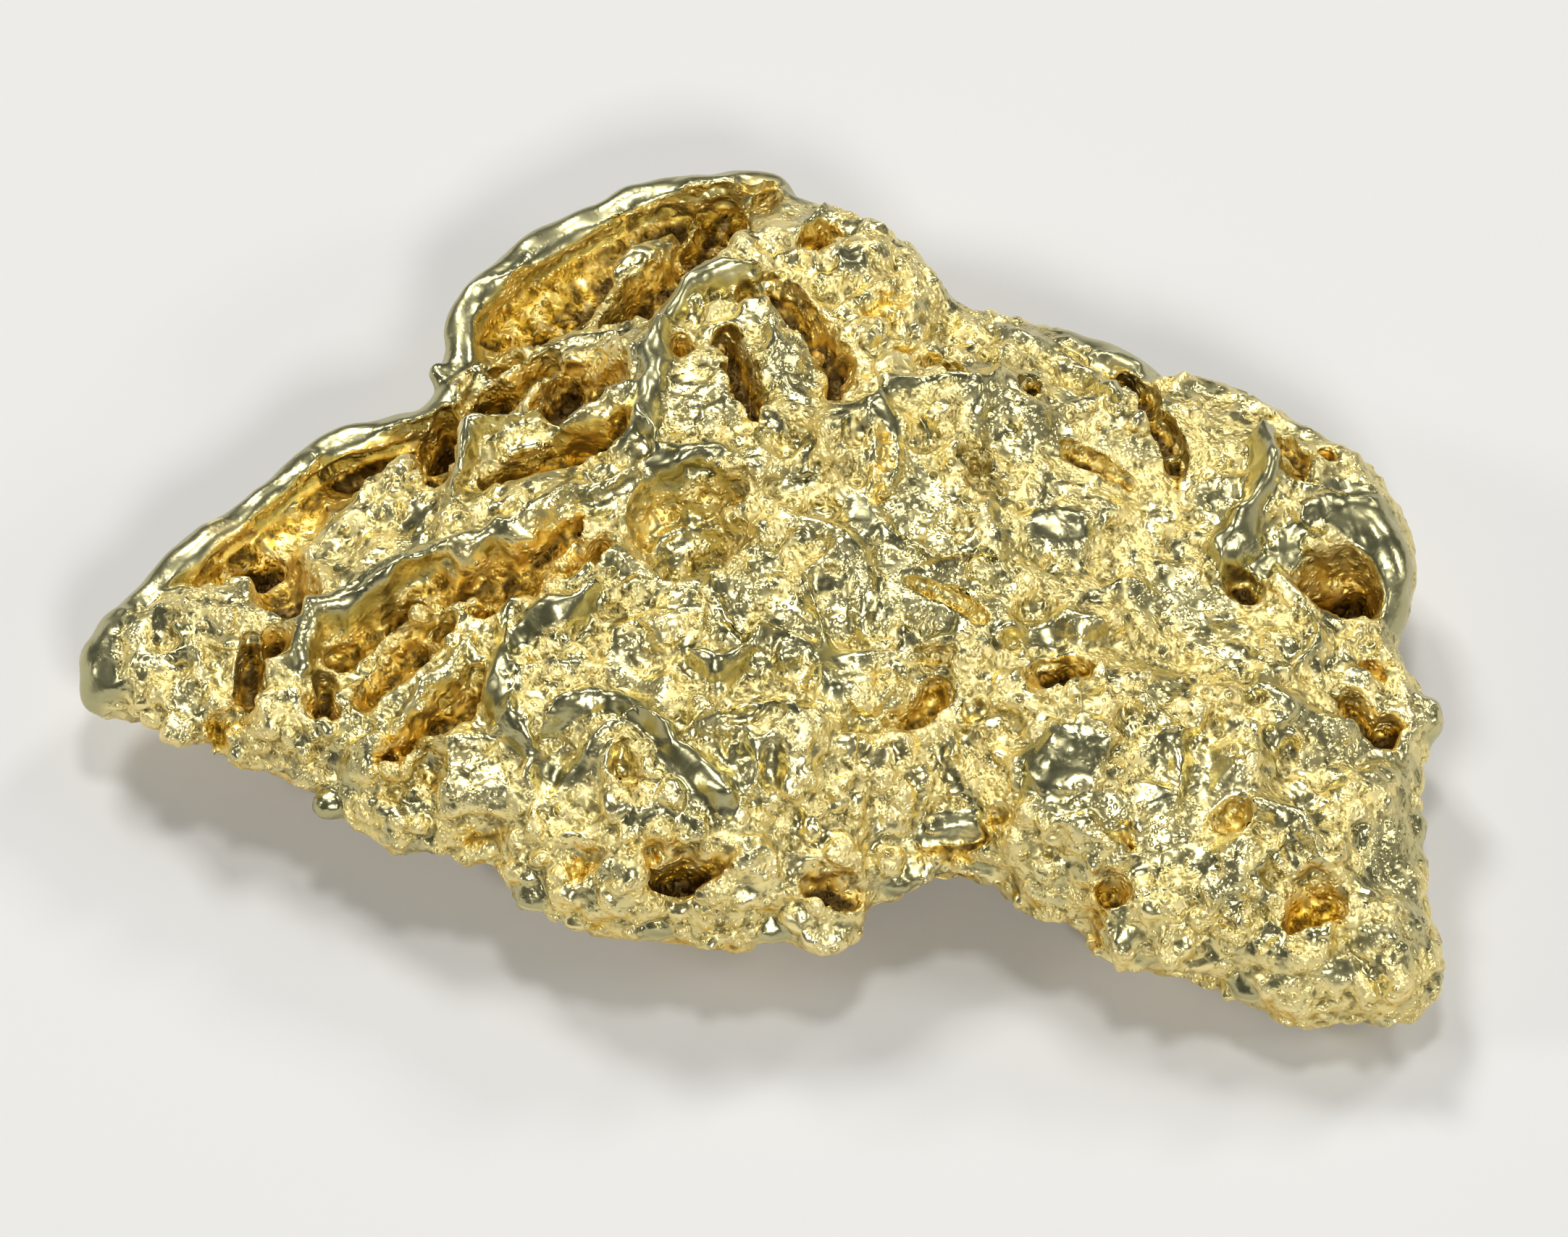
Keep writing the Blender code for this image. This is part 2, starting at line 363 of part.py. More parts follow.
def fused_body():
    """The skin and its nodules as one closed light mesh, still in millimetres."""
    mesh = grid_mesh("skin", *skin())
    bm = bmesh.new()
    bm.from_mesh(mesh)
    add_nodules(bm)
    bmesh.ops.recalc_face_normals(bm, faces=bm.faces)
    bm.to_mesh(mesh)
    bm.free()
    raw = bpy.data.objects.new("raw_body", mesh)
    bpy.context.scene.collection.objects.link(raw)
    fuse = raw.modifiers.new("fuse", "REMESH")
    fuse.mode = "VOXEL"
    fuse.voxel_size = VOXEL
    bpy.context.view_layer.update()
    faces = len(raw.evaluated_get(bpy.context.evaluated_depsgraph_get()).data.polygons)
    thin = raw.modifiers.new("thin", "DECIMATE")
    thin.ratio = TRIANGLES / (2.0 * faces)
    thin.use_collapse_triangulate = True
    bpy.context.view_layer.update()
    graph = bpy.context.evaluated_depsgraph_get()
    body = bpy.data.meshes.new_from_object(raw.evaluated_get(graph))
    bpy.data.objects.remove(raw)
    bpy.data.meshes.remove(mesh)
    return body


def gold():
    """Native gold, worn and a little rough."""
    material = bpy.data.materials.new("native_gold")
    material.use_nodes = True
    shader = material.node_tree.nodes["Principled BSDF"]
    shader.inputs["Base Color"].default_value = (0.83, 0.60, 0.24, 1.0)
    shader.inputs["Metallic"].default_value = 1.0
    shader.inputs["Roughness"].default_value = 0.30
    return material


def build():
    for obj in list(bpy.data.objects):
        bpy.data.objects.remove(obj)
    body = fused_body()
    points = np.empty(3 * len(body.vertices))
    body.vertices.foreach_get("co", points)
    points = points.reshape(-1, 3)
    low, high = points.min(0), points.max(0)
    points[:, :2] -= 0.5 * (low[:2] + high[:2])
    points[:, :2] *= LENGTH / (high[0] - low[0])
    points[:, 2] = (points[:, 2] - low[2] - WORN) * THICKNESS / (high[2] - low[2] - WORN)
    points[:, 2] = np.maximum(points[:, 2], 0.0)
    print("size in mm", np.round(high - low, 3), "triangles", len(body.polygons))
    body.vertices.foreach_set("co", (points * MM).ravel())
    body.update()
    body.shade_smooth()
    body.set_sharp_from_angle(angle=math.radians(60.0))
    body.materials.clear()
    body.materials.append(gold())
    body.name = "nugget"
    bpy.context.scene.collection.objects.link(bpy.data.objects.new("nugget", body))


build()
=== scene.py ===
# %% [markdown]
# A gold nugget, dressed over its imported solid.
#
# The real thing is a single lump of native gold, 12 mm long, which a river has flattened and
# rolled.  Its rim is folded over and worn smooth, its upper face is full of ropes, grooves,
# pits and small round grains, and the deep places hold an orange iron stain.  Everything here
# is one skin, because the real nugget is one piece of metal.

# %% Load the frame
import math

import bpy
import numpy as np
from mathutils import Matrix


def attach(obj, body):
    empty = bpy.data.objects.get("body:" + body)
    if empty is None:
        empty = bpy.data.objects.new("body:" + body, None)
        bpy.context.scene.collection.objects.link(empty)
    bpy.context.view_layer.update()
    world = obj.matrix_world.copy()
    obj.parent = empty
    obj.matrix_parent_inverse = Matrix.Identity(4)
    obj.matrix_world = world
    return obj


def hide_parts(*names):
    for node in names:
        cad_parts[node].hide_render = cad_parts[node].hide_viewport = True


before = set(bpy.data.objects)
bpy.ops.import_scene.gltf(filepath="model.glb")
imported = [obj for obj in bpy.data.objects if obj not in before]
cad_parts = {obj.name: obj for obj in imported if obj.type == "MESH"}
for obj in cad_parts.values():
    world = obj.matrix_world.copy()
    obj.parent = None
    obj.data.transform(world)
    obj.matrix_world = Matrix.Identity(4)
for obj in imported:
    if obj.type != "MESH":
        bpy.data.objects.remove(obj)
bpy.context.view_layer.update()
MM = 0.001

# %% [markdown]
# The camera looks down on the nugget from the front, 55 degrees above the floor.  Its lens is
# long, as on a copy stand, so near and far parts of the nugget keep their true proportions.

# %% Camera
ELEVATION = math.radians(55.0)
LENS, SENSOR = 300.0, 36.0
VIEW_WIDTH = 13.834 * MM                     # what the view's width covers at the nugget
AIM = np.array([0.205, -0.320, 1.000]) * MM  # point in the middle of the view
DISTANCE = VIEW_WIDTH * LENS / SENSOR


def add_camera():
    """Camera at DISTANCE from AIM, looking along +Y and down by ELEVATION."""
    data = bpy.data.cameras.new("camera")
    data.lens, data.sensor_width = LENS, SENSOR
    data.clip_start, data.clip_end = 0.01 * DISTANCE, 100.0 * DISTANCE
    camera = bpy.data.objects.new("camera", data)
    back = np.array([0.0, -math.cos(ELEVATION), math.sin(ELEVATION)])
    camera.location = AIM + DISTANCE * back
    camera.rotation_euler = (math.pi / 2 - ELEVATION, 0.0, 0.0)
    bpy.context.scene.collection.objects.link(camera)
    bpy.context.scene.camera = camera
    return camera


camera = add_camera()
print("camera at mm", [round(c / MM, 1) for c in camera.location])

# %% [markdown]
# The floor is a plain pale sheet.  Metal shows nothing but what it mirrors, so the light is a
# dim even room with a few soft boxes in it: the boxes give the bright spots on every grain,
# and the room between them, with a dark reflection painted into the worn metal, gives the dark,
# smooth ridges.

# %% Floor, room and soft boxes
FLOOR_SIZE = 0.60
FLOOR_COLOR = (0.68, 0.67, 0.65)
ROOM_COLOR, ROOM_STRENGTH = (0.86, 0.98, 1.04), 0.070

# Name, azimuth, elevation, distance, width and height in metres, power in watts.
LAMPS = (
    ("back_left_box", -30.0, 50.0, 0.22, 0.055, 0.045, 0.215),
    ("back_right_box", 40.0, 38.0, 0.24, 0.045, 0.045, 0.13),
    ("top_box", 10.0, 80.0, 0.22, 0.036, 0.036, 0.12),
    ("left_box", -95.0, 30.0, 0.22, 0.050, 0.035, 0.09),
    ("right_box", 100.0, 28.0, 0.22, 0.050, 0.035, 0.07),
    ("front_box", 168.0, 40.0, 0.22, 0.050, 0.040, 0.205),
)


def plain_material(name, color, roughness):
    """Principled material of one colour."""
    material = bpy.data.materials.new(name)
    material.use_nodes = True
    shader = material.node_tree.nodes["Principled BSDF"]
    shader.inputs["Base Color"].default_value = (*color, 1.0)
    shader.inputs["Roughness"].default_value = roughness
    return material


def add_floor():
    """Square sheet on z = 0."""
    half = 0.5 * FLOOR_SIZE
    mesh = bpy.data.meshes.new("floor")
    mesh.from_pydata([(-half, -half, 0), (half, -half, 0), (half, half, 0), (-half, half, 0)],
                     [], [(0, 1, 2, 3)])
    mesh.materials.append(plain_material("floor_paint", FLOOR_COLOR, 0.85))
    floor = bpy.data.objects.new("floor", mesh)
    bpy.context.scene.collection.objects.link(floor)


def soft_box(name, azimuth, elevation, distance, width, height, power):
    """Rectangular lamp at a direction seen from the nugget, facing it.  Azimuth 0 is +Y."""
    a, e = math.radians(azimuth), math.radians(elevation)
    way = np.array([math.sin(a) * math.cos(e), math.cos(a) * math.cos(e), math.sin(e)])
    lamp = bpy.data.lights.new(name, "AREA")
    lamp.shape, lamp.size, lamp.size_y = "RECTANGLE", width, height
    lamp.energy = power
    obj = bpy.data.objects.new(name, lamp)
    obj.location = way * distance
    obj.rotation_euler = (math.radians(90.0) - e, 0.0, math.pi - a)
    bpy.context.scene.collection.objects.link(obj)


def add_room(color, strength):
    """Even dim light from all round."""
    world = bpy.data.worlds.new("room")
    world.use_nodes = True
    node = world.node_tree.nodes["Background"]
    node.inputs["Color"].default_value = (*color, 1.0)
    node.inputs["Strength"].default_value = strength
    bpy.context.scene.world = world


bpy.context.scene.view_settings.view_transform = "Standard"
add_floor()
add_room(ROOM_COLOR, ROOM_STRENGTH)
for lamp_row in LAMPS:
    soft_box(*lamp_row)
print("lamps", len(LAMPS))

# %% [markdown]
# The nugget's form is a closed skin.  Its rim is a curve through listed points, each
# with its height and the radius of its rolled edge.  From the rim the skin runs in over the
# upper face to one pole and under the belly to another.  Such a skin is a function of two
# parameters, the way round and the way from pole to pole, so numpy works it out in one go.

# %% Driving sizes and the rim, in millimetres
LENGTH, THICKNESS = 12.0, 2.6
POLE = (0.34, -0.09)     # plan position of both poles
CROWN = 0.78             # rise of the upper face from the rim to the middle
BELLY = 0.66             # depth of the underside below the rim
WORN = 0.03              # thickness worn off the lumps that it rests on
RIM_MEAN = 1.02          # height that the rim's rise and fall dies out to at the poles
ROLL_MEAN = 0.26         # radius that the roll's variation dies out to at the poles
THINNEST = 0.30          # least thickness left under a groove or pit
LEAN = 0.10              # lean of raised forms towards +Y for each millimetre of height
AROUND, DOWN = 1500, 460  # points of the skin round the rim and from pole to pole

# Plan x, plan y, height, radius of the roll, depth of the moat inside it, polish of the roll.
# A row of four has no moat and no polish.
RIM_ROWS = (
    (5.76, -0.09, 0.88, 0.3, 0.0, 0.7), (5.8, 0.25, 0.91, 0.32, 0.0, 0.6),
    (5.68, 0.78, 0.92, 0.32, 0.0, 0.5), (5.36, 1.25, 1.02, 0.28, 0.0, 0.5),
    (4.92, 1.55, 1.07, 0.25, 0.05, 0.5), (4.47, 1.9, 1.07, 0.25, 0.05, 0.5),
    (3.98, 2.12, 1.1, 0.25, 0.05, 0.5), (3.7, 2.06, 1.12, 0.2, 0.1, 0.3),
    (3.5, 2.28, 1.14, 0.24, 0.2, 1.0), (3.06, 2.5, 1.17, 0.26, 0.15, 1.0),
    (2.48, 2.66, 1.17, 0.26, 0.05, 0.5), (2.1, 2.69, 1.19, 0.24, 0.05, 0.4),
    (1.93, 2.76, 1.2, 0.24, 0.05, 0.4), (1.64, 3.11, 1.22, 0.26, 0.08, 0.6),
    (1.19, 3.56, 1.22, 0.28, 0.05, 0.4), (0.86, 3.84, 1.22, 0.27, 0.05, 0.5),
    (0.54, 4.0, 1.24, 0.22, 0.05, 0.4), (0.32, 4.09, 1.26, 0.18, 0.05, 0.4),
    (0.16, 4.27, 1.27, 0.17, 0.1, 0.6), (-0.05, 4.33, 1.27, 0.2, 0.18, 0.9),
    (-0.64, 4.3, 1.27, 0.25, 0.3, 1.0), (-1.09, 4.21, 1.25, 0.23, 0.34, 1.0),
    (-1.61, 3.93, 1.22, 0.25, 0.38, 1.0), (-1.94, 3.75, 1.19, 0.22, 0.34, 0.9),
    (-2.38, 3.37, 1.23, 0.27, 0.34, 1.0), (-2.66, 3.1, 1.2, 0.25, 0.28, 1.0),
    (-2.79, 2.82, 1.19, 0.22, 0.2, 1.0), (-2.8, 2.55, 1.17, 0.2, 0.1, 0.8),
    (-2.85, 2.34, 1.17, 0.18, 0.05, 0.5), (-2.98, 1.88, 1.16, 0.2, 0.15, 0.9),
    (-3.4, 1.63, 1.15, 0.24, 0.36, 1.0), (-3.84, 1.49, 1.12, 0.23, 0.42, 1.0),
    (-4.16, 1.29, 1.09, 0.25, 0.42, 1.0), (-4.51, 0.95, 1.07, 0.22, 0.38, 1.0),
    (-4.79, 0.63, 1.1, 0.25, 0.38, 1.0), (-5.17, 0.26, 1.06, 0.25, 0.32, 1.0),
    (-5.45, 0.0, 0.98, 0.26, 0.22, 1.0), (-5.66, -0.22, 0.94, 0.29, 0.1, 1.0),
    (-5.86, -0.42, 0.88, 0.32, 0.0, 1.0), (-5.97, -0.7, 0.85, 0.34, 0.0, 1.0),
    (-5.99, -0.96, 0.84, 0.33, 0.0, 1.0), (-5.85, -1.17, 0.85, 0.28, 0.0, 0.9),
    (-5.5, -1.22, 0.88, 0.22, 0.0, 0.2), (-5.28, -1.38, 0.9, 0.2, 0.0, 0.1), (-4.87, -1.64, 0.92, 0.2),
    (-4.6, -1.82, 0.94, 0.22), (-4.15, -1.97, 0.95, 0.22), (-3.82, -2.06, 0.95, 0.22),
    (-3.6, -2.4, 0.95, 0.24), (-3.38, -2.58, 0.94, 0.24), (-3.18, -2.75, 0.93, 0.26),
    (-2.58, -2.81, 0.91, 0.26), (-2.22, -2.92, 0.9, 0.26), (-2.14, -3.15, 0.9, 0.28),
    (-1.65, -3.46, 0.87, 0.3), (-1.17, -3.57, 0.83, 0.3), (-0.67, -3.61, 0.8, 0.28),
    (-0.1, -3.7, 0.8, 0.28), (0.1, -3.58, 0.8, 0.26), (0.6, -3.7, 0.8, 0.26), (0.93, -3.48, 0.8, 0.26),
    (1.03, -3.24, 0.84, 0.24), (1.6, -3.03, 0.93, 0.24, 0.0, 0.1), (2.08, -3.06, 0.9, 0.24, 0.0, 0.1),
    (2.24, -3.24, 0.87, 0.26), (2.84, -3.44, 0.8, 0.28), (3.14, -3.76, 0.74, 0.28),
    (3.48, -3.84, 0.69, 0.28), (4.1, -3.97, 0.6, 0.3), (4.48, -4.17, 0.56, 0.32),
    (4.86, -4.24, 0.52, 0.34), (5.49, -4.17, 0.5, 0.36), (5.82, -3.98, 0.52, 0.36, 0.0, 0.1),
    (5.9, -3.62, 0.56, 0.34, 0.0, 0.2), (5.81, -2.74, 0.68, 0.3, 0.0, 0.2),
    (5.76, -2.04, 0.77, 0.26, 0.0, 0.2), (5.8, -1.76, 0.82, 0.26, 0.0, 0.2),
    (5.92, -1.5, 0.84, 0.28, 0.0, 0.4), (5.8, -0.95, 0.86, 0.26, 0.0, 0.3),
    (5.61, -0.56, 0.9, 0.24, 0.0, 0.5),
)
RIM = [row + (0.0, 0.0)[len(row) - 4:] for row in RIM_ROWS]
print("rim points", len(RIM))

# %% [markdown]
# The forms that give the nugget its look are lists of what a prospector would point at: swells
# and basins, raised ropes, grooves, pits with a lip, and lumps.  Each is placed one by one.

# %% Forms of the upper face and the belly
# Broad swells and basins of the upper face: x, y, half-length, half-width, turn in degrees, rise.
SWELLS = (
    (0.2, 1.0, 2.9, 2.0, 35.0, 0.3), (0.1, 3.0, 1.1, 1.3, 0.0, 0.12),
    (3.3, 0.2, 1.3, 0.9, -10.0, -0.16), (-3.75, 0.1, 0.85, 0.6, 35.0, -0.26),
    (-1.75, 2.6, 0.85, 1.1, -30.0, -0.2), (-0.5, -2.6, 2.6, 0.8, -8.0, 0.2),
    (4.6, -2.8, 1.3, 1.3, 20.0, 0.16), (5.0, 0.85, 0.8, 0.7, -30.0, 0.22),
    (2.74, -2.55, 0.8, 0.55, 10.0, 0.24), (-5.55, -0.7, 0.5, 0.5, 0.0, 0.05),
    (1.7, -2.6, 0.7, 0.45, 0.0, -0.1), (4.1, -0.9, 0.9, 0.7, 0.0, -0.1),
)

# Ropes, half buried bars that the river has polished: half-width, rise, polish, crest points.
ROPES = (
    (0.17, 0.2, 1.0, ((-0.02, 2.62), (-0.45, 2.56), (-0.68, 2.38), (-0.82, 2.14), (-0.92, 1.76),
                       (-0.98, 1.28), (-1.0, 1.0), (-0.95, 0.46))),
    (0.18, 0.18, 0.9, ((-1.38, -0.82), (-1.55, -1.04), (-1.9, -1.12), (-2.12, -1.24),
                       (-2.26, -1.5), (-2.2, -1.86), (-1.92, -2.18))),
    (0.2, 0.2, 0.9, ((-1.8, -2.03), (-1.35, -1.89), (-1.05, -2.06), (-0.8, -2.36),
                       (-0.55, -2.59), (-0.3, -2.83))),
    (0.16, 0.16, 0.8, ((-0.62, -1.51), (-0.3, -1.62), (-0.05, -1.38), (0.1, -1.26),
                       (0.26, -1.3), (0.22, -1.55))),
    (0.17, 0.2, 0.7, ((-1.1, 0.24), (-1.55, 0.08), (-1.9, -0.16), (-2.2, -0.36))),
    (0.14, 0.18, 0.7, ((-2.02, -0.26), (-2.3, -0.32), (-2.55, -0.44), (-3.1, -0.34), (-3.66, -0.56))),
    (0.16, 0.18, 0.8, ((-2.9, -0.4), (-3.4, -0.6), (-3.88, -0.76), (-3.94, -1.28))),
    (0.17, 0.18, 0.7, ((-1.76, 0.88), (-1.45, 1.0), (-1.16, 1.16))),
    (0.21, 0.22, 0.9, ((-0.82, 3.6), (-1.06, 3.42), (-1.32, 3.12))),
    (0.15, 0.18, 0.8, ((-2.56, 0.98), (-2.64, 0.62), (-2.74, 0.22))),
    (0.15, 0.15, 0.7, ((-1.9, 1.22), (-2.3, 1.08), (-2.62, 1.02))),
    (0.2, 0.24, 1.0, ((4.42, 1.14), (4.36, 0.44), (4.12, 0.02), (4.04, -0.18))),
    (0.18, 0.15, 0.7, ((2.2, -1.24), (2.55, -1.08), (2.94, -1.08))),
    (0.18, 0.16, 0.7, ((4.36, -1.48), (4.72, -1.78), (5.14, -1.76))),
    (0.16, 0.15, 0.7, ((4.2, -2.86), (4.62, -2.88), (4.76, -3.2))),
    (0.18, 0.12, 0.5, ((1.02, 1.08), (0.96, 0.62), (1.0, 0.16))),
    (0.16, 0.14, 0.6, ((3.3, -1.86), (3.6, -2.2), (3.7, -2.6))),
    (0.18, 0.12, 0.5, ((2.05, 0.1), (2.1, -0.3), (1.9, -0.66))),
    (0.16, 0.14, 0.6, ((-3.14, -1.88), (-2.8, -1.55), (-2.46, -1.24))),
    (0.16, 0.13, 0.6, ((-0.62, -1.9), (-0.42, -2.2), (-0.1, -2.4))),
    (0.16, 0.14, 0.7, ((0.12, 1.9), (0.24, 1.44), (0.38, 1.04))),
    (0.18, 0.16, 0.7, ((2.06, 2.3), (2.52, 2.16), (2.9, 1.86), (3.16, 1.42))),
    (0.16, 0.13, 0.6, ((0.2, -0.1), (0.66, -0.36), (0.9, -0.72), (0.86, -1.16))),
)

# Grooves and cracks: half-width, depth, stain of the floor, then the points of the floor.
GROOVES = (
    (0.22, 0.46, 0.95, ((-0.76, 3.82), (-1.28, 3.38), (-1.72, 2.92), (-2.06, 2.52))),
    (0.25, 0.52, 1.0, ((-0.34, 3.82), (-0.5, 3.36), (-0.74, 2.92), (-1.22, 2.48))),
    (0.15, 0.3, 0.8, ((-1.82, 1.96), (-2.1, 1.82), (-2.42, 1.66))),
    (0.16, 0.32, 0.75, ((-1.1, 0.98), (-1.7, 0.72), (-2.34, 0.5))),
    (0.17, 0.24, 0.7, ((-1.58, -0.1), (-2.2, -0.56), (-2.68, -0.62), (-3.14, -0.72))),
    (0.14, 0.22, 0.6, ((-1.36, -0.4), (-1.9, -0.66), (-2.44, -0.86))),
    (0.12, 0.22, 0.65, ((-3.02, -0.76), (-3.4, -0.88), (-3.74, -1.06))),
    (0.15, 0.22, 0.65, ((-2.74, -0.98), (-3.12, -1.22), (-3.5, -1.56))),
    (0.15, 0.24, 0.65, ((-2.4, -1.56), (-2.78, -1.84), (-3.26, -2.1))),
    (0.16, 0.36, 0.95, ((-2.74, 1.52), (-2.82, 1.06), (-2.88, 0.62))),
    (0.22, 0.34, 0.9, ((-4.66, 0.52), (-4.3, 0.06), (-4.1, -0.36), (-4.06, -0.66))),
    (0.13, 0.3, 0.85, ((-0.32, 1.86), (-0.16, 1.44), (0.0, 1.02))),
    (0.13, 0.28, 0.85, ((0.08, 2.56), (0.34, 2.16), (0.62, 1.8), (0.66, 1.2))),
    (0.08, 0.16, 0.6, ((1.04, 0.76), (1.06, 0.4), (1.02, 0.06))),
    (0.05, 0.14, 0.7, ((2.66, 0.86), (3.0, 0.76), (3.26, 0.66))),
    (0.06, 0.28, 0.9, ((3.0, 2.02), (3.34, 1.76), (3.44, 1.38), (3.62, 1.12), (3.64, 0.74))),
    (0.07, 0.18, 0.8, ((4.62, 1.2), (4.72, 0.9), (4.7, 0.66))),
    (0.08, 0.14, 0.6, ((1.1, -2.04), (1.36, -1.9), (1.6, -1.68))),
    (0.08, 0.12, 0.4, ((1.33, -0.7), (1.66, -0.86), (1.92, -1.12))),
    (0.12, 0.2, 0.75, ((5.1, -1.4), (5.32, -1.66), (5.54, -1.6))),
    (0.08, 0.26, 0.85, ((-4.42, -0.96), (-4.38, -1.5))),
    (0.08, 0.26, 0.85, ((-3.8, -1.24), (-3.76, -1.74))),
    (0.07, 0.12, 0.5, ((1.22, 1.84), (1.62, 1.72), (1.9, 1.46))),
    (0.1, 0.18, 0.35, ((-1.04, -0.22), (-0.92, 0.04), (-0.62, 0.14), (-0.24, 0.1))),
)

# Pits: x, y, half-length, half-width, turn in degrees, depth, rise of the rim round it, stain.
PITS = (
    (5.08, -0.2, 0.35, 0.31, 0.0, 0.62, 0.03, 0.95), (-0.6, -0.26, 0.52, 0.44, 0.0, 0.36, 0.08, 0.05),
    (-1.6, 1.48, 0.42, 0.4, 25.0, 0.44, 0.03, 0.9), (-0.7, 1.72, 0.1, 0.18, 0.0, 0.2, 0.03, 0.6),
    (-0.1, 2.36, 0.13, 0.12, 0.0, 0.18, 0.03, 0.8), (0.02, 4.1, 0.24, 0.1, 0.0, 0.26, 0.04, 0.8),
    (0.55, 3.1, 0.15, 0.2, -20.0, 0.18, 0.03, 0.6), (1.1, 2.34, 0.22, 0.11, 30.0, 0.1, 0.02, 0.5),
    (2.4, 1.42, 0.1, 0.1, 0.0, 0.16, 0.04, 0.9), (0.88, 0.66, 0.14, 0.14, 0.0, 0.14, 0.08, 0.2),
    (1.87, 0.52, 0.16, 0.16, 0.0, 0.14, 0.08, 0.2), (-2.8, -2.25, 0.15, 0.14, 0.0, 0.14, 0.08, 0.2),
    (4.95, 0.98, 0.1, 0.1, 0.0, 0.16, 0.03, 0.9), (4.26, -0.24, 0.14, 0.11, -20.0, 0.16, 0.02, 0.9),
    (3.16, 1.96, 0.17, 0.1, -50.0, 0.18, 0.02, 0.9), (2.54, -1.58, 0.27, 0.15, 25.0, 0.22, 0.04, 0.85),
    (1.8, -1.95, 0.16, 0.06, 30.0, 0.09, 0.02, 0.5), (1.55, -1.5, 0.16, 0.06, -10.0, 0.09, 0.02, 0.5),
    (1.05, -1.65, 0.14, 0.06, 40.0, 0.09, 0.02, 0.4), (4.12, -2.88, 0.26, 0.11, 15.0, 0.12, 0.03, 0.4),
    (4.72, -3.5, 0.26, 0.2, 20.0, 0.18, 0.03, 0.6), (3.17, -3.08, 0.1, 0.08, 0.0, 0.12, 0.03, 0.8),
    (-4.2, -1.0, 0.14, 0.13, 0.0, 0.18, 0.02, 0.8), (-4.7, -1.62, 0.14, 0.12, 0.0, 0.2, 0.02, 0.8),
    (-2.3, 2.1, 0.16, 0.12, 30.0, 0.18, 0.03, 0.7), (-2.42, 2.62, 0.12, 0.12, 0.0, 0.16, 0.03, 0.8),
    (-1.15, -2.6, 0.15, 0.14, 0.0, 0.14, 0.08, 0.2), (5.3, -1.05, 0.12, 0.08, 0.0, 0.12, 0.02, 0.6),
    (0.1, -2.55, 0.13, 0.16, 0.0, 0.12, 0.05, 0.2), (-0.62, -3.3, 0.38, 0.13, 0.0, 0.3, 0.0, 1.0),
    (0.6, -3.38, 0.36, 0.13, 0.0, 0.3, 0.0, 1.0), (1.78, -2.86, 0.42, 0.1, 0.0, 0.26, 0.0, 1.0),
    (-4.6, -1.62, 0.22, 0.1, 20.0, 0.2, 0.0, 0.6), (-2.4, -2.72, 0.22, 0.09, 10.0, 0.18, 0.0, 0.7),
    (3.0, -3.42, 0.24, 0.1, 20.0, 0.18, 0.0, 0.8), (-1.55, -3.2, 0.18, 0.12, 0.0, 0.18, 0.0, 0.6),
)

# Dents struck into the flanks: x, y, z, three radii, depth, stain.
DENTS = (
    (-4.2, -2.0, 0.8, 0.24, 0.2, 0.18, 0.16, 0.8), (-4.8, -1.66, 0.74, 0.26, 0.18, 0.16, 0.16, 0.7),
    (-2.9, -2.78, 0.74, 0.3, 0.18, 0.18, 0.14, 0.6), (2.6, -3.4, 0.66, 0.34, 0.22, 0.16, 0.16, 0.6),
    (3.75, -3.92, 0.52, 0.36, 0.2, 0.16, 0.12, 0.5), (5.74, -2.96, 0.62, 0.2, 0.34, 0.18, 0.12, 0.5),
    (-1.95, -3.32, 0.66, 0.26, 0.18, 0.16, 0.14, 0.6), (-0.3, -3.66, 0.7, 0.3, 0.16, 0.14, 0.12, 0.7),
    (1.6, -3.04, 0.78, 0.36, 0.16, 0.16, 0.16, 0.9),
)

# Lumps on the upper face: x, y, half-length, half-width, turn in degrees, rise, polish.
LUMPS = (
    (2.62, -2.52, 0.46, 0.38, 15.0, 0.24, 0.9), (-1.25, -3.42, 0.34, 0.24, 0.0, 0.18, 0.0),
    (-1.75, -3.22, 0.3, 0.22, 0.0, 0.16, 0.0), (-0.02, -3.42, 0.28, 0.22, 0.0, 0.16, 0.0),
    (2.8, -3.22, 0.28, 0.18, 20.0, 0.16, 0.4), (3.42, -3.52, 0.28, 0.22, 30.0, 0.16, 0.2),
    (-5.15, -0.68, 0.2, 0.16, 0.0, 0.12, 0.0), (-4.76, -0.82, 0.2, 0.15, 0.0, 0.12, 0.0),
    (-3.45, -2.2, 0.3, 0.24, 0.0, 0.14, 0.0), (-2.2, -2.55, 0.34, 0.26, 20.0, 0.14, 0.0),
    (-0.7, -2.75, 0.28, 0.22, 0.0, 0.12, 0.0), (0.3, -2.35, 0.32, 0.4, 10.0, 0.14, 0.3),
    (1.05, -2.65, 0.3, 0.26, 0.0, 0.12, 0.3), (0.8, 3.4, 0.28, 0.22, -30.0, 0.12, 0.2),
    (1.5, 2.6, 0.26, 0.24, 0.0, 0.1, 0.4), (2.7, 2.05, 0.34, 0.22, -15.0, 0.14, 0.2),
    (4.35, 1.6, 0.26, 0.2, 0.0, 0.14, 0.5), (5.2, -2.5, 0.32, 0.3, 0.0, 0.14, 0.0),
    (3.8, -1.8, 0.3, 0.26, 0.0, 0.1, 0.0), (5.35, -3.55, 0.36, 0.34, 0.0, 0.12, 0.2),
    (0.05, 0.35, 0.28, 0.2, 20.0, 0.12, 0.5), (-2.2, 2.38, 0.22, 0.18, 0.0, 0.14, 0.0),
    (2.9, 0.25, 0.34, 0.26, 0.0, 0.1, 0.0), (4.0, -3.35, 0.34, 0.28, 0.0, 0.12, 0.0),
    (-0.66, 0.44, 0.46, 0.17, 12.0, 0.18, 0.9), (1.2, 0.4, 0.22, 0.28, 0.0, 0.1, 0.6),
)

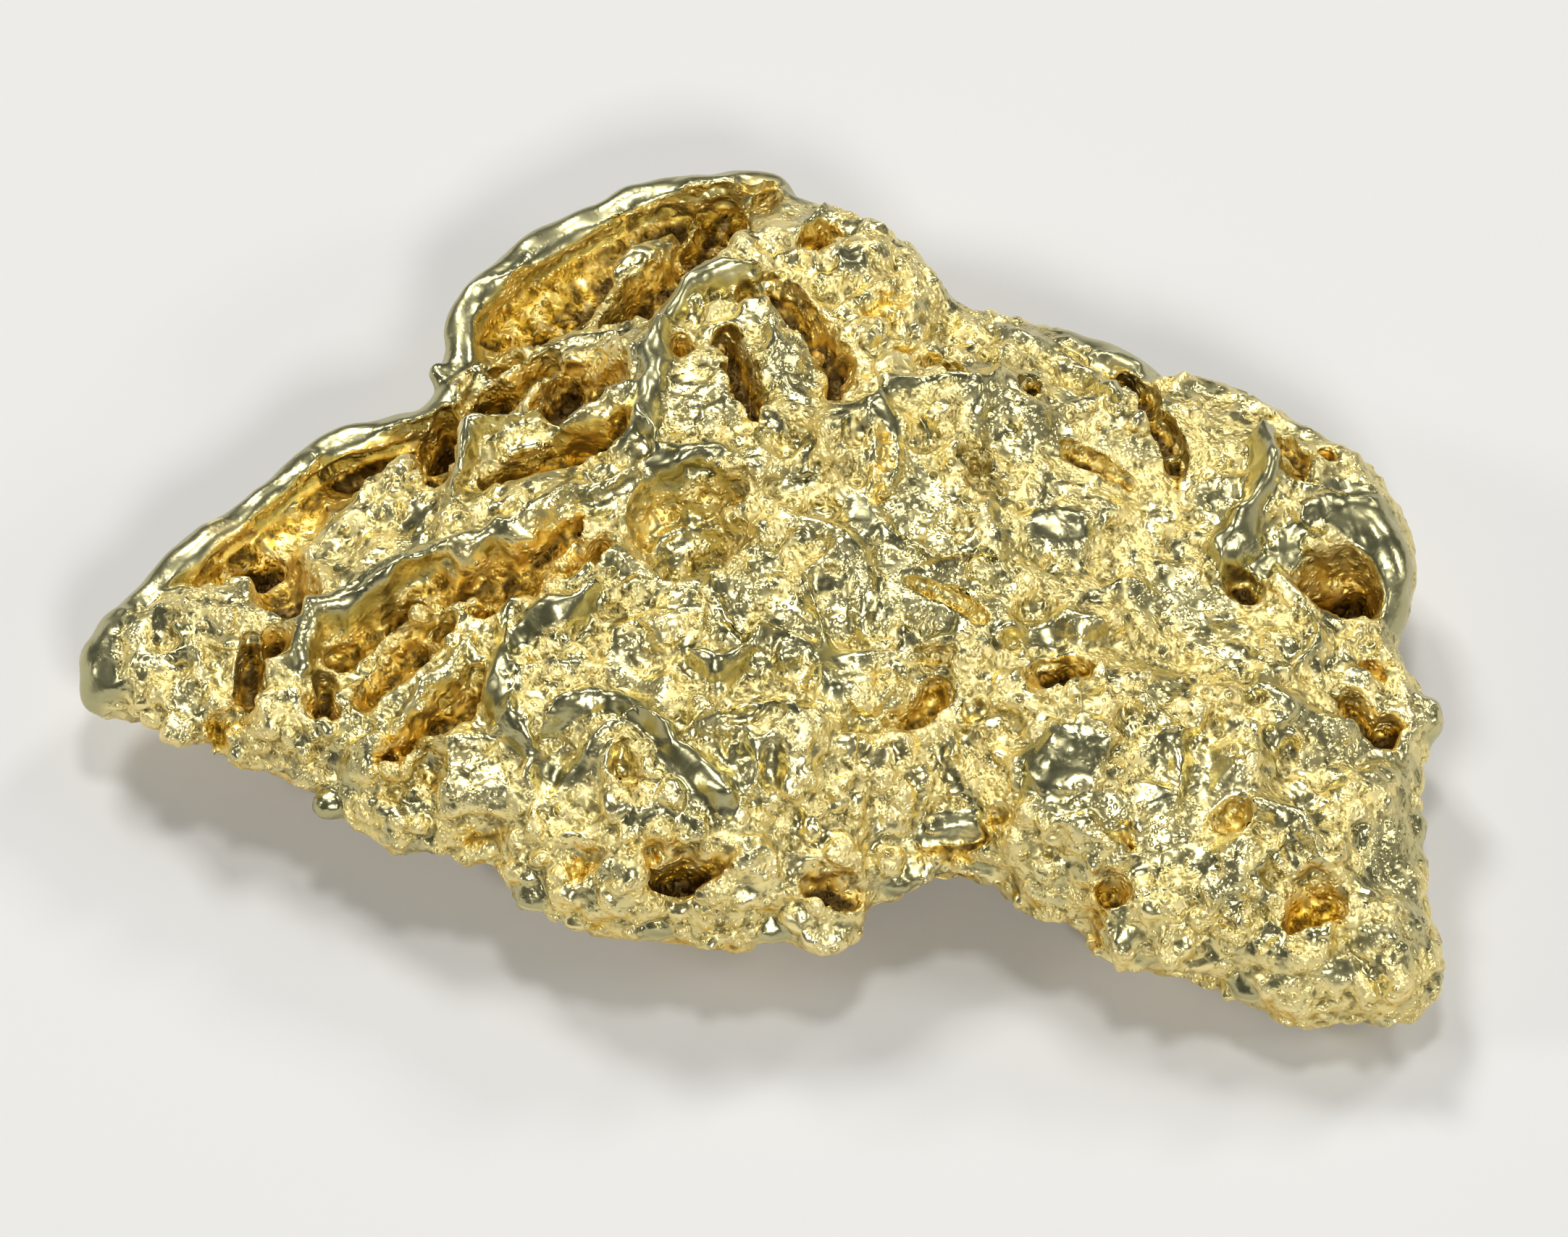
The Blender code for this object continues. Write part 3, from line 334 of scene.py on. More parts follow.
# Nodules fused to the skin, overhanging it: x, y, z, radii along X, Y and Z.
NODULES = (
    (-2.82, 2.1, 1.3, 0.16, 0.15, 0.14), (-3.72, -2.26, 0.95, 0.17, 0.16, 0.15),
    (5.8, -1.34, 0.92, 0.22, 0.25, 0.22), (0.0, -1.2, 1.88, 0.12, 0.11, 0.11),
    (-5.7, -0.78, 0.93, 0.3, 0.34, 0.31), (-1.72, 1.98, 1.66, 0.09, 0.09, 0.09),
    (-2.26, 1.16, 1.56, 0.1, 0.09, 0.09), (-3.02, -2.6, 0.92, 0.16, 0.14, 0.15),
    (-0.9, -3.44, 0.84, 0.2, 0.15, 0.15), (0.1, -3.5, 0.86, 0.2, 0.16, 0.15),
    (3.35, -3.64, 0.78, 0.2, 0.16, 0.16), (4.25, -3.94, 0.62, 0.22, 0.16, 0.16),
    (1.2, -3.08, 0.96, 0.17, 0.14, 0.13), (5.66, -2.45, 0.84, 0.18, 0.22, 0.18),
    (-1.95, -3.18, 0.94, 0.19, 0.16, 0.16), (3.84, 1.98, 1.26, 0.17, 0.14, 0.14),
    (1.58, -2.94, 0.98, 0.1, 0.1, 0.1), (1.95, -2.9, 1.02, 0.1, 0.1, 0.11),
)

# Bars that stand clear of the skin, lips and ledges: rows of x, y, z and radius.
BARS = (
    ((4.55, -0.04, 1.28, 0.11), (4.62, 0.18, 1.4, 0.15), (4.82, 0.42, 1.46, 0.21),
     (5.08, 0.5, 1.46, 0.25), (5.34, 0.38, 1.36, 0.26), (5.5, 0.1, 1.22, 0.25),
     (5.56, -0.28, 1.08, 0.2)),
    ((1.26, -2.78, 1.08, 0.1), (1.5, -2.68, 1.18, 0.14), (1.8, -2.64, 1.2, 0.15),
     (2.1, -2.66, 1.16, 0.14), (2.3, -2.78, 1.06, 0.1)),
    ((2.96, 2.18, 1.42, 0.1), (3.18, 2.12, 1.46, 0.14), (3.42, 1.98, 1.44, 0.12)),
    ((4.66, 0.04, 1.4, 0.1), (4.44, -0.02, 1.4, 0.11), (4.4, -0.18, 1.36, 0.1),
     (4.6, -0.28, 1.28, 0.09)),
)

# Edges rolled into a bar: first and last row of RIM, radius, inset from the rim, lift.
EDGES = ((17, 28, 0.19, 0.2, 0.08), (29, 39, 0.19, 0.2, 0.08))

# Forms of the underside, raised towards the floor or hollowed: x, y, radii, turn, drop.
UNDERSIDE = (
    (-1.75, 0.7, 0.8, 0.55, 20.0, 0.62), (1.8, 1.3, 0.85, 0.55, -10.0, 0.66),
    (2.6, -1.45, 0.8, 0.58, 15.0, 0.5), (-1.1, -1.55, 0.7, 0.5, 0.0, 0.56),
    (0.3, 2.7, 0.8, 0.6, 60.0, 0.24), (0.35, -0.15, 0.8, 0.6, 0.0, -0.12),
    (-3.4, -0.3, 0.7, 0.4, 10.0, 0.26), (4.3, -0.1, 0.6, 0.5, 0.0, 0.26),
    (0.95, -2.1, 0.5, 0.32, 30.0, -0.28), (-1.2, 2.1, 0.5, 0.32, 40.0, -0.26),
    (3.3, 1.4, 0.5, 0.3, -20.0, -0.2), (4.4, -2.7, 0.8, 0.55, 20.0, 0.26),
    (-2.6, -1.7, 0.55, 0.32, 15.0, -0.2), (-4.6, -0.7, 0.5, 0.35, 0.0, 0.16),
    (-0.3, -2.9, 0.6, 0.3, 0.0, 0.18), (-3.9, 0.6, 0.5, 0.25, 45.0, -0.12),
    (4.9, -1.6, 0.35, 0.45, 0.0, -0.16), (3.6, -0.6, 0.3, 0.3, 0.0, -0.2),
)

# Folds of the underside: half-width, drop (negative is a crack), then the points of the line.
FOLDS = (
    (0.14, 0.16, ((-4.6, 0.05), (-3.6, 0.3), (-2.9, 0.85), (-2.4, 1.6), (-1.9, 2.6))),
    (0.12, -0.2, ((-0.55, 3.4), (-0.35, 2.5), (-0.1, 1.7), (0.45, 1.2), (0.6, 0.5))),
    (0.13, 0.15, ((2.1, 2.0), (2.9, 0.7), (3.3, -0.2), (4.1, -0.9), (4.9, -1.0))),
    (0.11, -0.18, ((-3.7, -1.2), (-2.6, -0.8), (-1.8, -0.5), (-0.6, -0.6))),
    (0.12, -0.18, ((1.3, -2.6), (1.7, -1.7), (1.5, -0.8), (1.9, -0.1))),
    (0.13, 0.14, ((3.3, -3.2), (3.9, -2.2), (4.9, -2.0), (5.3, -3.0))),
)
print("forms", sum(len(v) for v in (SWELLS, ROPES, GROOVES, PITS, DENTS, LUMPS, UNDERSIDE, FOLDS)))

# %% [markdown]
# Helpers: a smooth curve through points, a soft step, a repeatable noise, the distance to a
# curve and the radius in an ellipse.  The forms are sums of these.

# %% Helpers and the skin
def smooth_path(points, count, closed=False):
    """Catmull-Rom curve through the rows of points, read at count even steps."""
    rows = np.array(points, float)
    if closed:
        rows = np.vstack([rows[-1:], rows, rows[:2]])
    else:
        rows = np.vstack([2 * rows[:1] - rows[1:2], rows, 2 * rows[-1:] - rows[-2:-1]])
    spans = len(rows) - 3
    where = np.linspace(0.0, spans, count, endpoint=not closed)
    k = np.minimum(where.astype(int), spans - 1)
    t = (where - k)[:, None]
    a, b, c, d = rows[k], rows[k + 1], rows[k + 2], rows[k + 3]
    return 0.5 * (2 * b + (c - a) * t + (2 * a - 5 * b + 4 * c - d) * t ** 2
                  + (3 * b - a - 3 * c + d) * t ** 3)


def step(value, low, high):
    """Smooth rise from 0 at low to 1 at high."""
    t = np.clip((value - low) / (high - low), 0.0, 1.0)
    return t * t * (3.0 - 2.0 * t)


def fall(value, low, high):
    """Smooth fall from 1 at low to 0 at high."""
    return 1.0 - step(value, low, high)


def hashed(ix, iy, iz, seed):
    """Repeatable pseudo-random value from -1 to 1 for each lattice point."""
    n = (ix * 374761393 + iy * 668265263 + iz * 2147483647 + seed * 1274126177) & 0xFFFFFFFF
    n = ((n ^ (n >> 13)) * 1274126177) & 0xFFFFFFFF
    n = n ^ (n >> 16)
    return n / 2147483647.5 - 1.0


def noise(x, y, z, cell, seed):
    """Value noise: hashed lattice values blended with a quintic curve."""
    px, py, pz = x / cell, y / cell, z / cell
    ix, iy, iz = (np.floor(v).astype(np.int64) for v in (px, py, pz))
    fx, fy, fz = (v - i for v, i in ((px, ix), (py, iy), (pz, iz)))
    ux, uy, uz = (f ** 3 * (f * (6 * f - 15) + 10) for f in (fx, fy, fz))
    total = np.zeros_like(px)
    for dx, wx in ((0, 1 - ux), (1, ux)):
        for dy, wy in ((0, 1 - uy), (1, uy)):
            for dz, wz in ((0, 1 - uz), (1, uz)):
                total += hashed(ix + dx, iy + dy, iz + dz, seed) * wx * wy * wz
    return total


def turbulent(p, cell, octaves, seed):
    """Sum of noises, each half as large and half as strong as the last."""
    total = np.zeros(len(p))
    for k in range(octaves):
        scale = 0.5 ** k
        total += scale * noise(*p.T, cell * scale, seed + k)
    return total


def path_distance(x, y, path, reach):
    """Distance from each plan point to a polyline, and the share of the way along it; points
    past reach keep the value reach."""
    far, way = np.full(x.shape, reach), np.zeros(x.shape)
    low, high = path.min(0) - reach, path.max(0) + reach
    near = (x > low[0]) & (x < high[0]) & (y > low[1]) & (y < high[1])
    px, py, best, along = x[near], y[near], far[near], way[near]
    for k, ((ax, ay), (bx, by)) in enumerate(zip(path[:-1], path[1:])):
        dx, dy = bx - ax, by - ay
        t = np.clip(((px - ax) * dx + (py - ay) * dy) / (dx * dx + dy * dy), 0.0, 1.0)
        d = np.hypot(px - ax - t * dx, py - ay - t * dy)
        along = np.where(d < best, (k + t) / (len(path) - 1), along)
        best = np.minimum(best, d)
    far[near], way[near] = best, along
    return far, way


def from_line(x, y, points, width, reach):
    """Distance to a line in widths of its own, which thins out towards both ends."""
    d, along = path_distance(x, y, smooth_path(points, 6 * len(points)), reach * width)
    body = 0.50 + 0.50 * np.sqrt(np.clip(1.0 - np.abs(2.0 * along - 1.0) ** 3, 0.0, 1.0))
    body *= 1.08 + 0.28 * noise(x, y, 0.0, 0.45, 15)
    return np.where(d < reach * width, d / (width * body), 9.0)


def oval(x, y, cx, cy, rx, ry, turn):
    """Radius of each plan point in an ellipse's own measure: 1 on the ellipse."""
    c, s = math.cos(math.radians(turn)), math.sin(math.radians(turn))
    dx, dy = x - cx, y - cy
    return np.hypot((c * dx + s * dy) / rx, (c * dy - s * dx) / ry)


def wandered(x, y):
    """Plan points shifted by slow and quick noise, so that no form keeps a drawn outline."""
    shift = [0.06 * noise(x, y, 0.0, 0.7, k) + 0.035 * noise(x, y, 0.0, 0.26, k + 1)
             + 0.025 * noise(x, y, 0.0, 0.12, k + 2) for k in (11, 16)]
    return x + shift[0], y + shift[1]


def web(x, y):
    """1 on the crests of small winding ridges, where a noise crosses zero, kept in patches."""
    line = noise(x, y, 0.0, 0.85, 91) + 0.35 * noise(x, y, 0.0, 0.40, 92)
    return step(noise(x, y, 0.0, 1.3, 93), -0.45, 0.00) * np.exp(-(line / 0.15) ** 2)


def relief(x, y):
    """Rise of the upper face's forms: swells and ridges, less grooves and pits, plus lumps,
    under ropes."""
    swell, h = 0.12 * web(x, y), np.zeros_like(x)
    for *ellipse, rise in SWELLS:
        swell += rise * np.exp(-oval(x, y, *ellipse) ** 2)
    wx, wy = wandered(x, y)
    for width, depth, stain, points in GROOVES:
        h -= 1.25 * depth * fall(from_line(wx, wy, points, width, 1.8), 0.3, 1.35)
    for *ellipse, depth, rise, stain in PITS:
        q = oval(wx, wy, *ellipse)
        h += rise * np.exp(-((q - 1.3) / 0.25) ** 2) - 1.2 * depth * fall(q, 0.4, 1.15)
    for *ellipse, rise, polish in LUMPS:
        q = oval(wx, wy, *ellipse)
        h += rise * np.clip(1.0 - q ** 2 / 1.3, 0.0, 1.0) ** 0.7
    for width, rise, polish, points in ROPES:
        q = from_line(wx, wy, points, width, 1.3)
        h = np.where(q < 1.0, np.maximum(h, rise * np.clip(1.0 - q ** 2, 0.0, 1.0) ** 1.3), h)
    return swell + h


def underside(x, y):
    """Drop that the forms of the belly add at each plan point."""
    h = np.zeros_like(x)
    for *ellipse, drop in UNDERSIDE:
        h += drop * np.exp(-oval(x, y, *ellipse) ** 2)
    wx = x + 0.10 * noise(x, y, 0.0, 0.8, 31)
    wy = y + 0.10 * noise(x, y, 0.0, 0.8, 32)
    for width, drop, points in FOLDS:
        h += drop * fall(from_line(wx, wy, points, width, 2.4), 0.0, 2.0)
    return h


def rim_at(angles):
    """Plan radius, height, roll, moat and polish of the rim at each polar angle about POLE."""
    curve = smooth_path(RIM, 12 * len(RIM), closed=True)
    dx, dy = curve[:, 0] - POLE[0], curve[:, 1] - POLE[1]
    angle = np.unwrap(np.arctan2(dy, dx))
    keep = np.maximum.accumulate(angle) == angle
    rows = [np.hypot(dx, dy)] + [curve[:, k] for k in range(2, 6)]
    return [np.interp(angles, angle[keep], v[keep], period=2 * math.pi) for v in rows]


def skin():
    """Closed skin: rings from the upper pole (t = -1) over the rim (t = 0) to the belly (t = 1)."""
    theta = np.linspace(0.0, 2 * math.pi, AROUND, endpoint=False)
    t = np.linspace(-1.0, 1.0, DOWN)[:, None]
    radius, height, roll, moat, polish = (v[None, :] for v in rim_at(theta))
    inner = np.sin(0.5 * math.pi * (1.0 - np.abs(t)) ** 0.75)
    rho = np.clip(inner, 1e-5, 1.0)
    x = POLE[0] + rho * radius * np.cos(theta)
    y = POLE[1] + rho * radius * np.sin(theta)
    inside = (1.0 - rho) * radius
    edge = np.clip(inside / roll, 0.0, 1.0)
    rolled = (ROLL_MEAN + (roll - ROLL_MEAN) * rho ** 2) * np.sqrt(1.0 - (1.0 - edge) ** 2)
    wake = step(inside, 0.0, 0.45)
    belt = np.clip(moat / 0.3, 0.0, 1.0) * fall(inside, 0.2, 1.1)
    sunk = moat * step(inside, 0.34, 0.46) * fall(inside, 0.70, 1.30)
    rim = RIM_MEAN + (height - RIM_MEAN) * rho ** 2.0
    grain = 0.14 * noise(x, y, 0.0, 0.60, 21) + 0.07 * noise(x, y, 0.0, 0.30, 22)
    lumps = 0.09 * noise(x, y, 0.0, 0.9, 23) + 0.06 * noise(x, y, 0.0, 0.45, 24)
    forms = relief(x, y)
    crown = CROWN * (1.0 - rho ** 2.4) ** 0.9 * (1.0 - belt)
    low = rim - rolled - BELLY * (1.0 - rho ** 2.0) ** 1.3 - wake * (underside(x, y) + lumps)
    top = rim + rolled + crown + wake * (forms + grain) - sunk
    top = np.maximum(top, low + THINNEST * step(inside, 0.0, 0.3))
    z = np.where(t < 0.0, top, np.maximum(low, 0.0))
    raised = np.where(t < 0.0, wake * np.clip(forms, 0.0, 0.4), 0.0)
    return x, y + LEAN * raised, z


# %% [markdown]
# Blender makes a mesh from a list of points and a list of faces.  Every form here is a grid of
# points that closes round itself and ends in two poles, so one function makes the faces of the
# skin, of the small balls fused to it and of the bars that stand clear as lips and ledges.

# %% Meshes from grids
BALL_RINGS, SIDES = 15, 24   # rings of a ball from pole to pole, sides of a ball and of a bar


def grid_faces(rows, cols, first):
    """Faces of a grid that closes round its columns, with a pole at each end."""
    r, c = np.meshgrid(np.arange(rows - 3), np.arange(cols), indexing="ij")
    n = (c + 1) % cols
    quads = np.stack([r * cols + c, (r + 1) * cols + c, (r + 1) * cols + n, r * cols + n], -1)
    k, last, top = np.arange(cols), (rows - 3) * cols, (rows - 2) * cols
    caps = np.vstack([np.stack([0 * k + top, k, (k + 1) % cols], -1),
                      np.stack([0 * k + top + 1, last + (k + 1) % cols, last + k], -1)])
    return (quads.reshape(-1, 4) + first).tolist() + (caps + first).tolist()


def grid_points(x, y, z):
    """Points of the same grid: its inner rows, then its two poles."""
    inner = np.stack([x, y, z], -1)[1:-1].reshape(-1, 3)
    ends = [[v[0].mean() for v in (x, y, z)], [v[-1].mean() for v in (x, y, z)]]
    return np.vstack([inner, ends])


def ball(cx, cy, cz, rx, ry, rz):
    """Ellipsoid: cosine of latitude times cosine and sine of longitude, and sine of latitude."""
    lat = np.linspace(math.pi / 2, -math.pi / 2, BALL_RINGS)[:, None]
    lon = np.linspace(0.0, 2 * math.pi, SIDES, endpoint=False)[None, :]
    return (cx + rx * np.cos(lat) * np.cos(lon), cy + ry * np.cos(lat) * np.sin(lon),
            cz + rz * np.sin(lat) + 0.0 * lon)


def bar(rows):
    """Closed tube: a low ellipse carried along a smooth path, dying out at both ends, its
    radius uneven by a slow noise."""
    path = smooth_path(rows, 10 * len(rows))
    way = np.gradient(path[:, :3], axis=0)
    way /= np.linalg.norm(way, axis=1)[:, None]
    side = np.cross((0.0, 0.0, 1.0), way)
    side /= np.linalg.norm(side, axis=1)[:, None]
    up = np.cross(way, side)
    share = np.linspace(-1.0, 1.0, len(path))
    radius = path[:, 3] * np.sqrt(np.clip(1.0 - np.abs(share) ** 5, 0.0, 1.0))
    radius *= 1.0 + 0.26 * noise(*path[:, :3].T, 0.5, 81)
    a = np.linspace(0.0, 2 * math.pi, SIDES, endpoint=False)
    ring = 0.85 * np.cos(a)[None, :, None] * up[:, None] + np.sin(a)[None, :, None] * side[:, None]
    points = path[:, None, :3] + radius[:, None, None] * ring
    return points[..., 0], points[..., 1], points[..., 2]


def edge_rows(first, last, radius, inset, lift):
    """Rows of a bar that follows the rim from one of its points to another, a little inside."""
    rows = np.array(RIM[first:last + 1])
    out = rows[:, :2] - POLE
    reach = np.hypot(out[:, 0], out[:, 1])[:, None]
    plan = POLE + out * (1.0 - inset / reach)
    return np.column_stack([plan, rows[:, 2] + lift, np.full(len(rows), radius)])


ALL_BARS = [np.array(rows) for rows in BARS] + [edge_rows(*row) for row in EDGES]
print("bars", len(ALL_BARS))


def joined_mesh(name, grids):
    """One mesh of many closed grids."""
    points, faces, count = [], [], 0
    for x, y, z in grids:
        faces += grid_faces(*x.shape, count)
        points.append(grid_points(x, y, z))
        count += len(points[-1])
    mesh = bpy.data.meshes.new(name)
    mesh.from_pydata(np.vstack(points).tolist(), [], faces)
    return mesh


# %% [markdown]
# Balls that overlap the skin are not yet one metal with it.  Blender's voxel remesh takes the
# outside of everything that overlaps and lays one even net over it, as casting wax would.

# %% Fuse the skin and its nodules
VOXEL = 0.032


def as_object(name, mesh):
    """Object at the origin that holds the mesh."""
    obj = bpy.data.objects.new(name, mesh)
    bpy.context.scene.collection.objects.link(obj)
    return obj


def baked(obj):
    """Mesh of an object with its modifiers applied; the object itself goes."""
    bpy.context.view_layer.update()
    graph = bpy.context.evaluated_depsgraph_get()
    mesh = bpy.data.meshes.new_from_object(obj.evaluated_get(graph))
    old = obj.data
    bpy.data.objects.remove(obj)
    bpy.data.meshes.remove(old)
    return mesh


def read_points(mesh):
    """Vertex positions and vertex normals as arrays."""
    points = np.empty((len(mesh.vertices), 3), np.float32)
    normals = np.empty_like(points)
    mesh.vertices.foreach_get("co", points.ravel())
    mesh.vertex_normals.foreach_get("vector", normals.ravel())
    return points.astype(float), normals.astype(float)


def write_points(mesh, points):
    """Move the vertices to the given places."""
    mesh.vertices.foreach_set("co", points.astype(np.float32).ravel())
    mesh.update()


def read_edges(mesh):
    """Vertex pairs of the edges."""
    edges = np.empty(2 * len(mesh.edges), np.int32)
    mesh.edges.foreach_get("vertices", edges)
    return edges.reshape(-1, 2)


def smoothed(p, edges, rounds):
    """Each point moved to the mean of its neighbours, several times."""
    a, b = edges[:, 0], edges[:, 1]
    count = np.bincount(a, minlength=len(p)) + np.bincount(b, minlength=len(p))
    for _ in range(rounds):
        p = np.stack([(np.bincount(a, p[b, k], len(p)) + np.bincount(b, p[a, k], len(p)))
                      / count for k in range(3)], -1)
    return p


raw = as_object("raw", joined_mesh("raw", [skin()] + [ball(*row) for row in NODULES]
                                   + [bar(rows) for rows in ALL_BARS]))
fuse = raw.modifiers.new("fuse", "REMESH")
fuse.mode, fuse.voxel_size = "VOXEL", VOXEL
body = baked(raw)
points, normals = read_points(body)
points = 0.5 * points + 0.5 * smoothed(points, read_edges(body), 1)
write_points(body, points)
print("fused faces", len(body.polygons))

# %% [markdown]
# Three things are known about every point of the skin: how worn it is, how stained it is, and
# whether it lies on the near flank, where the grains stand thick as pearls.  The stain also
# carries painted shade under the polished rim and on the down-facing flank.  They steer both
# the grain in the mesh and the finish in the material.

# %% Where the metal is worn, stained or given painted shade, and pearly
def rim_frame(x, y):
    """Distance inside the rim, and the rim's roll, moat and polish, at each plan point."""
    dx, dy = x - POLE[0], y - POLE[1]
    radius, height, roll, moat, polish = rim_at(np.arctan2(dy, dx))
    return radius - np.hypot(dx, dy), roll, moat, polish


def in_ball(p, cx, cy, cz, rx, ry, rz):
    """Distance from a ball's middle in its own measure: 1 on its surface."""
    return np.sqrt((((p - (cx, cy, cz)) / (rx, ry, rz)) ** 2).sum(1))


def in_bar(p, rows):
    """Distance from a bar's middle line, 1 on its surface, 9 for points far from it."""
    path = smooth_path(rows, 6 * len(rows))
    reach = 1.5 * path[:, 3].max()
    close = ((p > path[:, :3].min(0) - reach) & (p < path[:, :3].max(0) + reach)).all(1)
    near = p[close]
    best = np.full(len(near), 81.0)
    for row in path:
        best = np.minimum(best, ((near - row[:3]) ** 2).sum(1) / row[3] ** 2)
    out = np.full(len(p), 9.0)
    out[close] = np.sqrt(best)
    return out


def worn_at(p, upward):
    """1 on ropes, polished rims, lumps, nodules and the exposed side of bars, 0 on the crust."""
    x, y = wandered(p[:, 0], p[:, 1])
    inside, roll, moat, polish = rim_frame(p[:, 0], p[:, 1])
    s = polish * fall(inside, roll - 0.02, roll + 0.14) * step(upward, -0.7, -0.2)
    for width, rise, shine, path in ROPES:
        s = np.maximum(s, shine * fall(from_line(x, y, path, width, 1.6), 0.55, 1.05))
    for *ellipse, rise, shine in LUMPS:
        s = np.maximum(s, shine * fall(oval(x, y, *ellipse), 0.7, 1.2))
    for row in NODULES:
        s = np.maximum(s, 0.8 - 0.8 * step(in_ball(p, *row), 1.0, 1.3))
    exposed = np.maximum(step(upward, 0.0, 0.5), fall(inside, 0.10, 0.22))
    for rows in ALL_BARS:
        s = np.maximum(s, exposed * fall(in_bar(p, rows), 1.05, 1.35))
    bare = fall(stain_and_shade_at(p, upward), 0.15, 0.50) * step(upward, 0.1, 0.5)
    ridges = web(p[:, 0], p[:, 1]) * step(inside, 0.3, 0.6)
    rubbed = turbulent(p, 0.50, 2, 97)
    s = np.maximum(s, bare * np.maximum(0.9 * ridges, 0.65 * step(rubbed, 0.15, 0.50)))
    spared = step(noise(*p.T, 0.28, 95), -0.6, 0.2)
    return s * (0.84 + 0.16 * spared)


def stain_and_shade_at(p, upward):
    """Ochre stain of each recess that the point lies in, plus painted shade under the polished rim and
    on the near flank.
    """
    x, y = wandered(p[:, 0], p[:, 1])
    inside, roll, moat, polish = rim_frame(p[:, 0], p[:, 1])
    s = 1.9 * moat * (step(inside, 0.34, 0.42) * fall(inside, 0.60, 1.00))
    for width, depth, stain, path in GROOVES:
        s = np.maximum(s, stain * fall(from_line(x, y, path, width, 2.4), 0.4, 1.7))
    for *ellipse, depth, rise, stain in PITS:
        s = np.maximum(s, stain * fall(oval(x, y, *ellipse), 0.4, 1.5))
    s = s * step(upward, -0.35, 0.0)
    # Painted shade: the down-facing side of the polished rim is darkened through the stain.
    s = np.maximum(s, 0.60 * polish * fall(inside, 0.35, 0.70) * step(-upward, 0.1, 0.6))
    for *ellipsoid, depth, stain in DENTS:
        s = np.maximum(s, stain * fall(in_ball(p, *ellipsoid), 0.6, 1.2))
    # Painted shade: the near flank is darkened where it faces down or sideways, in noisy patches.
    flank_shade_patchiness = 0.5 + 0.5 * noise(*p.T, 0.35, 99)
    return np.maximum(s, 0.9 * flank_shade_patchiness * pearly_at(p) * fall(upward, -0.3, 0.4))


def pearly_at(p):
    """1 on the unpolished flank and the belt inside it, 0 in the middle."""
    inside, roll, moat, polish = rim_frame(p[:, 0], p[:, 1])
    return (1.0 - polish) * fall(inside, 0.5, 1.5)


# %% [markdown]
# Grain.  Seen close, the gold is a crust of round grains, some the size of sand, with short
# winding welts between them.  A grain is a dome over a scattered point: the height is that of
# the tallest dome at each place.  The welts are the lines where a smooth noise crosses zero.
# Bump in the material would leave the outline bare, so all but the finest grain is in the mesh.

# %% Dents and grain along the normals
SCATTER = 0.42           # how far a cell's point strays from its middle, in cells


def dented(p, n):
    """Points pushed in along their normals inside each dent, deepest at its middle."""
    push = np.zeros(len(p))
    for *ellipsoid, depth, stain in DENTS:
        push += depth * fall(in_ball(p, *ellipsoid), 0.3, 1.15)
    return p - push[:, None] * n


def welts(p, cell, width, seed):
    """1 on the winding lines where a noise crosses zero, falling off as a bell."""
    n = noise(*p.T, cell, seed)
    return np.exp(-(n / width) ** 2)


def cells_near(q):
    """Lattice numbers of the 27 cells in and around each point's own, one cell at a time."""
    home = np.floor(q).astype(np.int64)
    for shift in np.ndindex(3, 3, 3):
        yield home + np.array(shift) - 1


def hashed_vector(number, seed):
    """Three repeatable values from -1 to 1 for each cell."""
    return np.stack([hashed(*number.T, seed + m) for m in range(3)], -1)


def domes(p, cell, share, seed):
    """Height of half balls over one scattered point per cell, of which a share stands proud."""
    q, best = p / cell, np.zeros(len(p))
    for number in cells_near(q):
        away = number + 0.5 - q + SCATTER * hashed_vector(number, seed)
        size = 0.47 + 0.15 * hashed(*number.T, seed + 3)
        size *= hashed(*number.T, seed + 4) < 2.0 * share - 1.0
        best = np.maximum(best, size ** 2 - (away ** 2).sum(1))
    return cell * np.sqrt(best)


def facets(p, cell, seed):
    """Height of crystal faces: each cell is a plane of its own lean through a scattered point,
    and each point of the skin takes the plane of the nearest one."""
    q, best, height = p / cell, np.full(len(p), 9.0), np.zeros(len(p))
    for number in cells_near(q):
        away = q - (number + 0.5) - SCATTER * hashed_vector(number, seed)
        lean = hashed_vector(number, seed + 3)
        squared = (away ** 2).sum(1)
        height = np.where(squared < best, (away * lean).sum(1), height)
        best = np.minimum(best, squared)
    return cell * height


TALLEST = 0.26           # height in mm that stacked grains level off at


def grain(p, upward):
    """Height of the crust along the normal at each point: lower in recesses and underneath."""
    warp = np.stack([noise(*p.T, 0.30, 40 + k) for k in range(3)], -1)
    q = p + 0.05 * warp
    worn, pearly = worn_at(p, upward), pearly_at(p)
    busy = 0.72 + 0.55 * turbulent(p, 0.9, 2, 47) + 0.30 * pearly
    busy = np.maximum(busy, 0.15)
    for *ellipse, rise in SWELLS:
        if rise < 0.0:
            busy *= 1.0 - 0.5 * np.exp(-oval(p[:, 0], p[:, 1], *ellipse) ** 2)
    busy *= (1.0 - 0.45 * stain_and_shade_at(p, upward)) * (0.70 + 0.30 * step(upward, -0.5, 0.1))
    crust = (0.40 + 0.30 * pearly) * domes(q, 0.34, 0.62, 51)
    crust += (0.45 + 0.40 * pearly) * domes(q, 0.20, 0.72, 57)
    crust += 0.35 * pearly * domes(q, 0.60, 0.66, 73)
    crust += (0.52 - 0.32 * pearly) * facets(q, 0.25, 83) + 0.03
    crust += 0.022 * welts(q, 0.30, 0.28, 63) + 0.020 * turbulent(q, 0.34, 2, 66)
    crust = TALLEST * np.tanh(crust / TALLEST)
    bare = 1.0 - np.minimum(1.1 * worn, 1.0)
    return bare * busy * crust + 0.06 * worn + 0.028 * turbulent(p, 0.42, 2, 70) - 0.085


points, normals = read_points(body)
points = dented(points, normals)
write_points(body, points)
points, normals = read_points(body)
bottom = step(points[:, 2], points[:, 2].min(), points[:, 2].min() + 0.14)
points += (bottom * grain(points, normals[:, 2]))[:, None] * normals
points = 0.7 * points + 0.3 * smoothed(points, read_edges(body), 1)
write_points(body, points)
print("grained box", np.round(points.min(0), 3), np.round(points.max(0), 3))

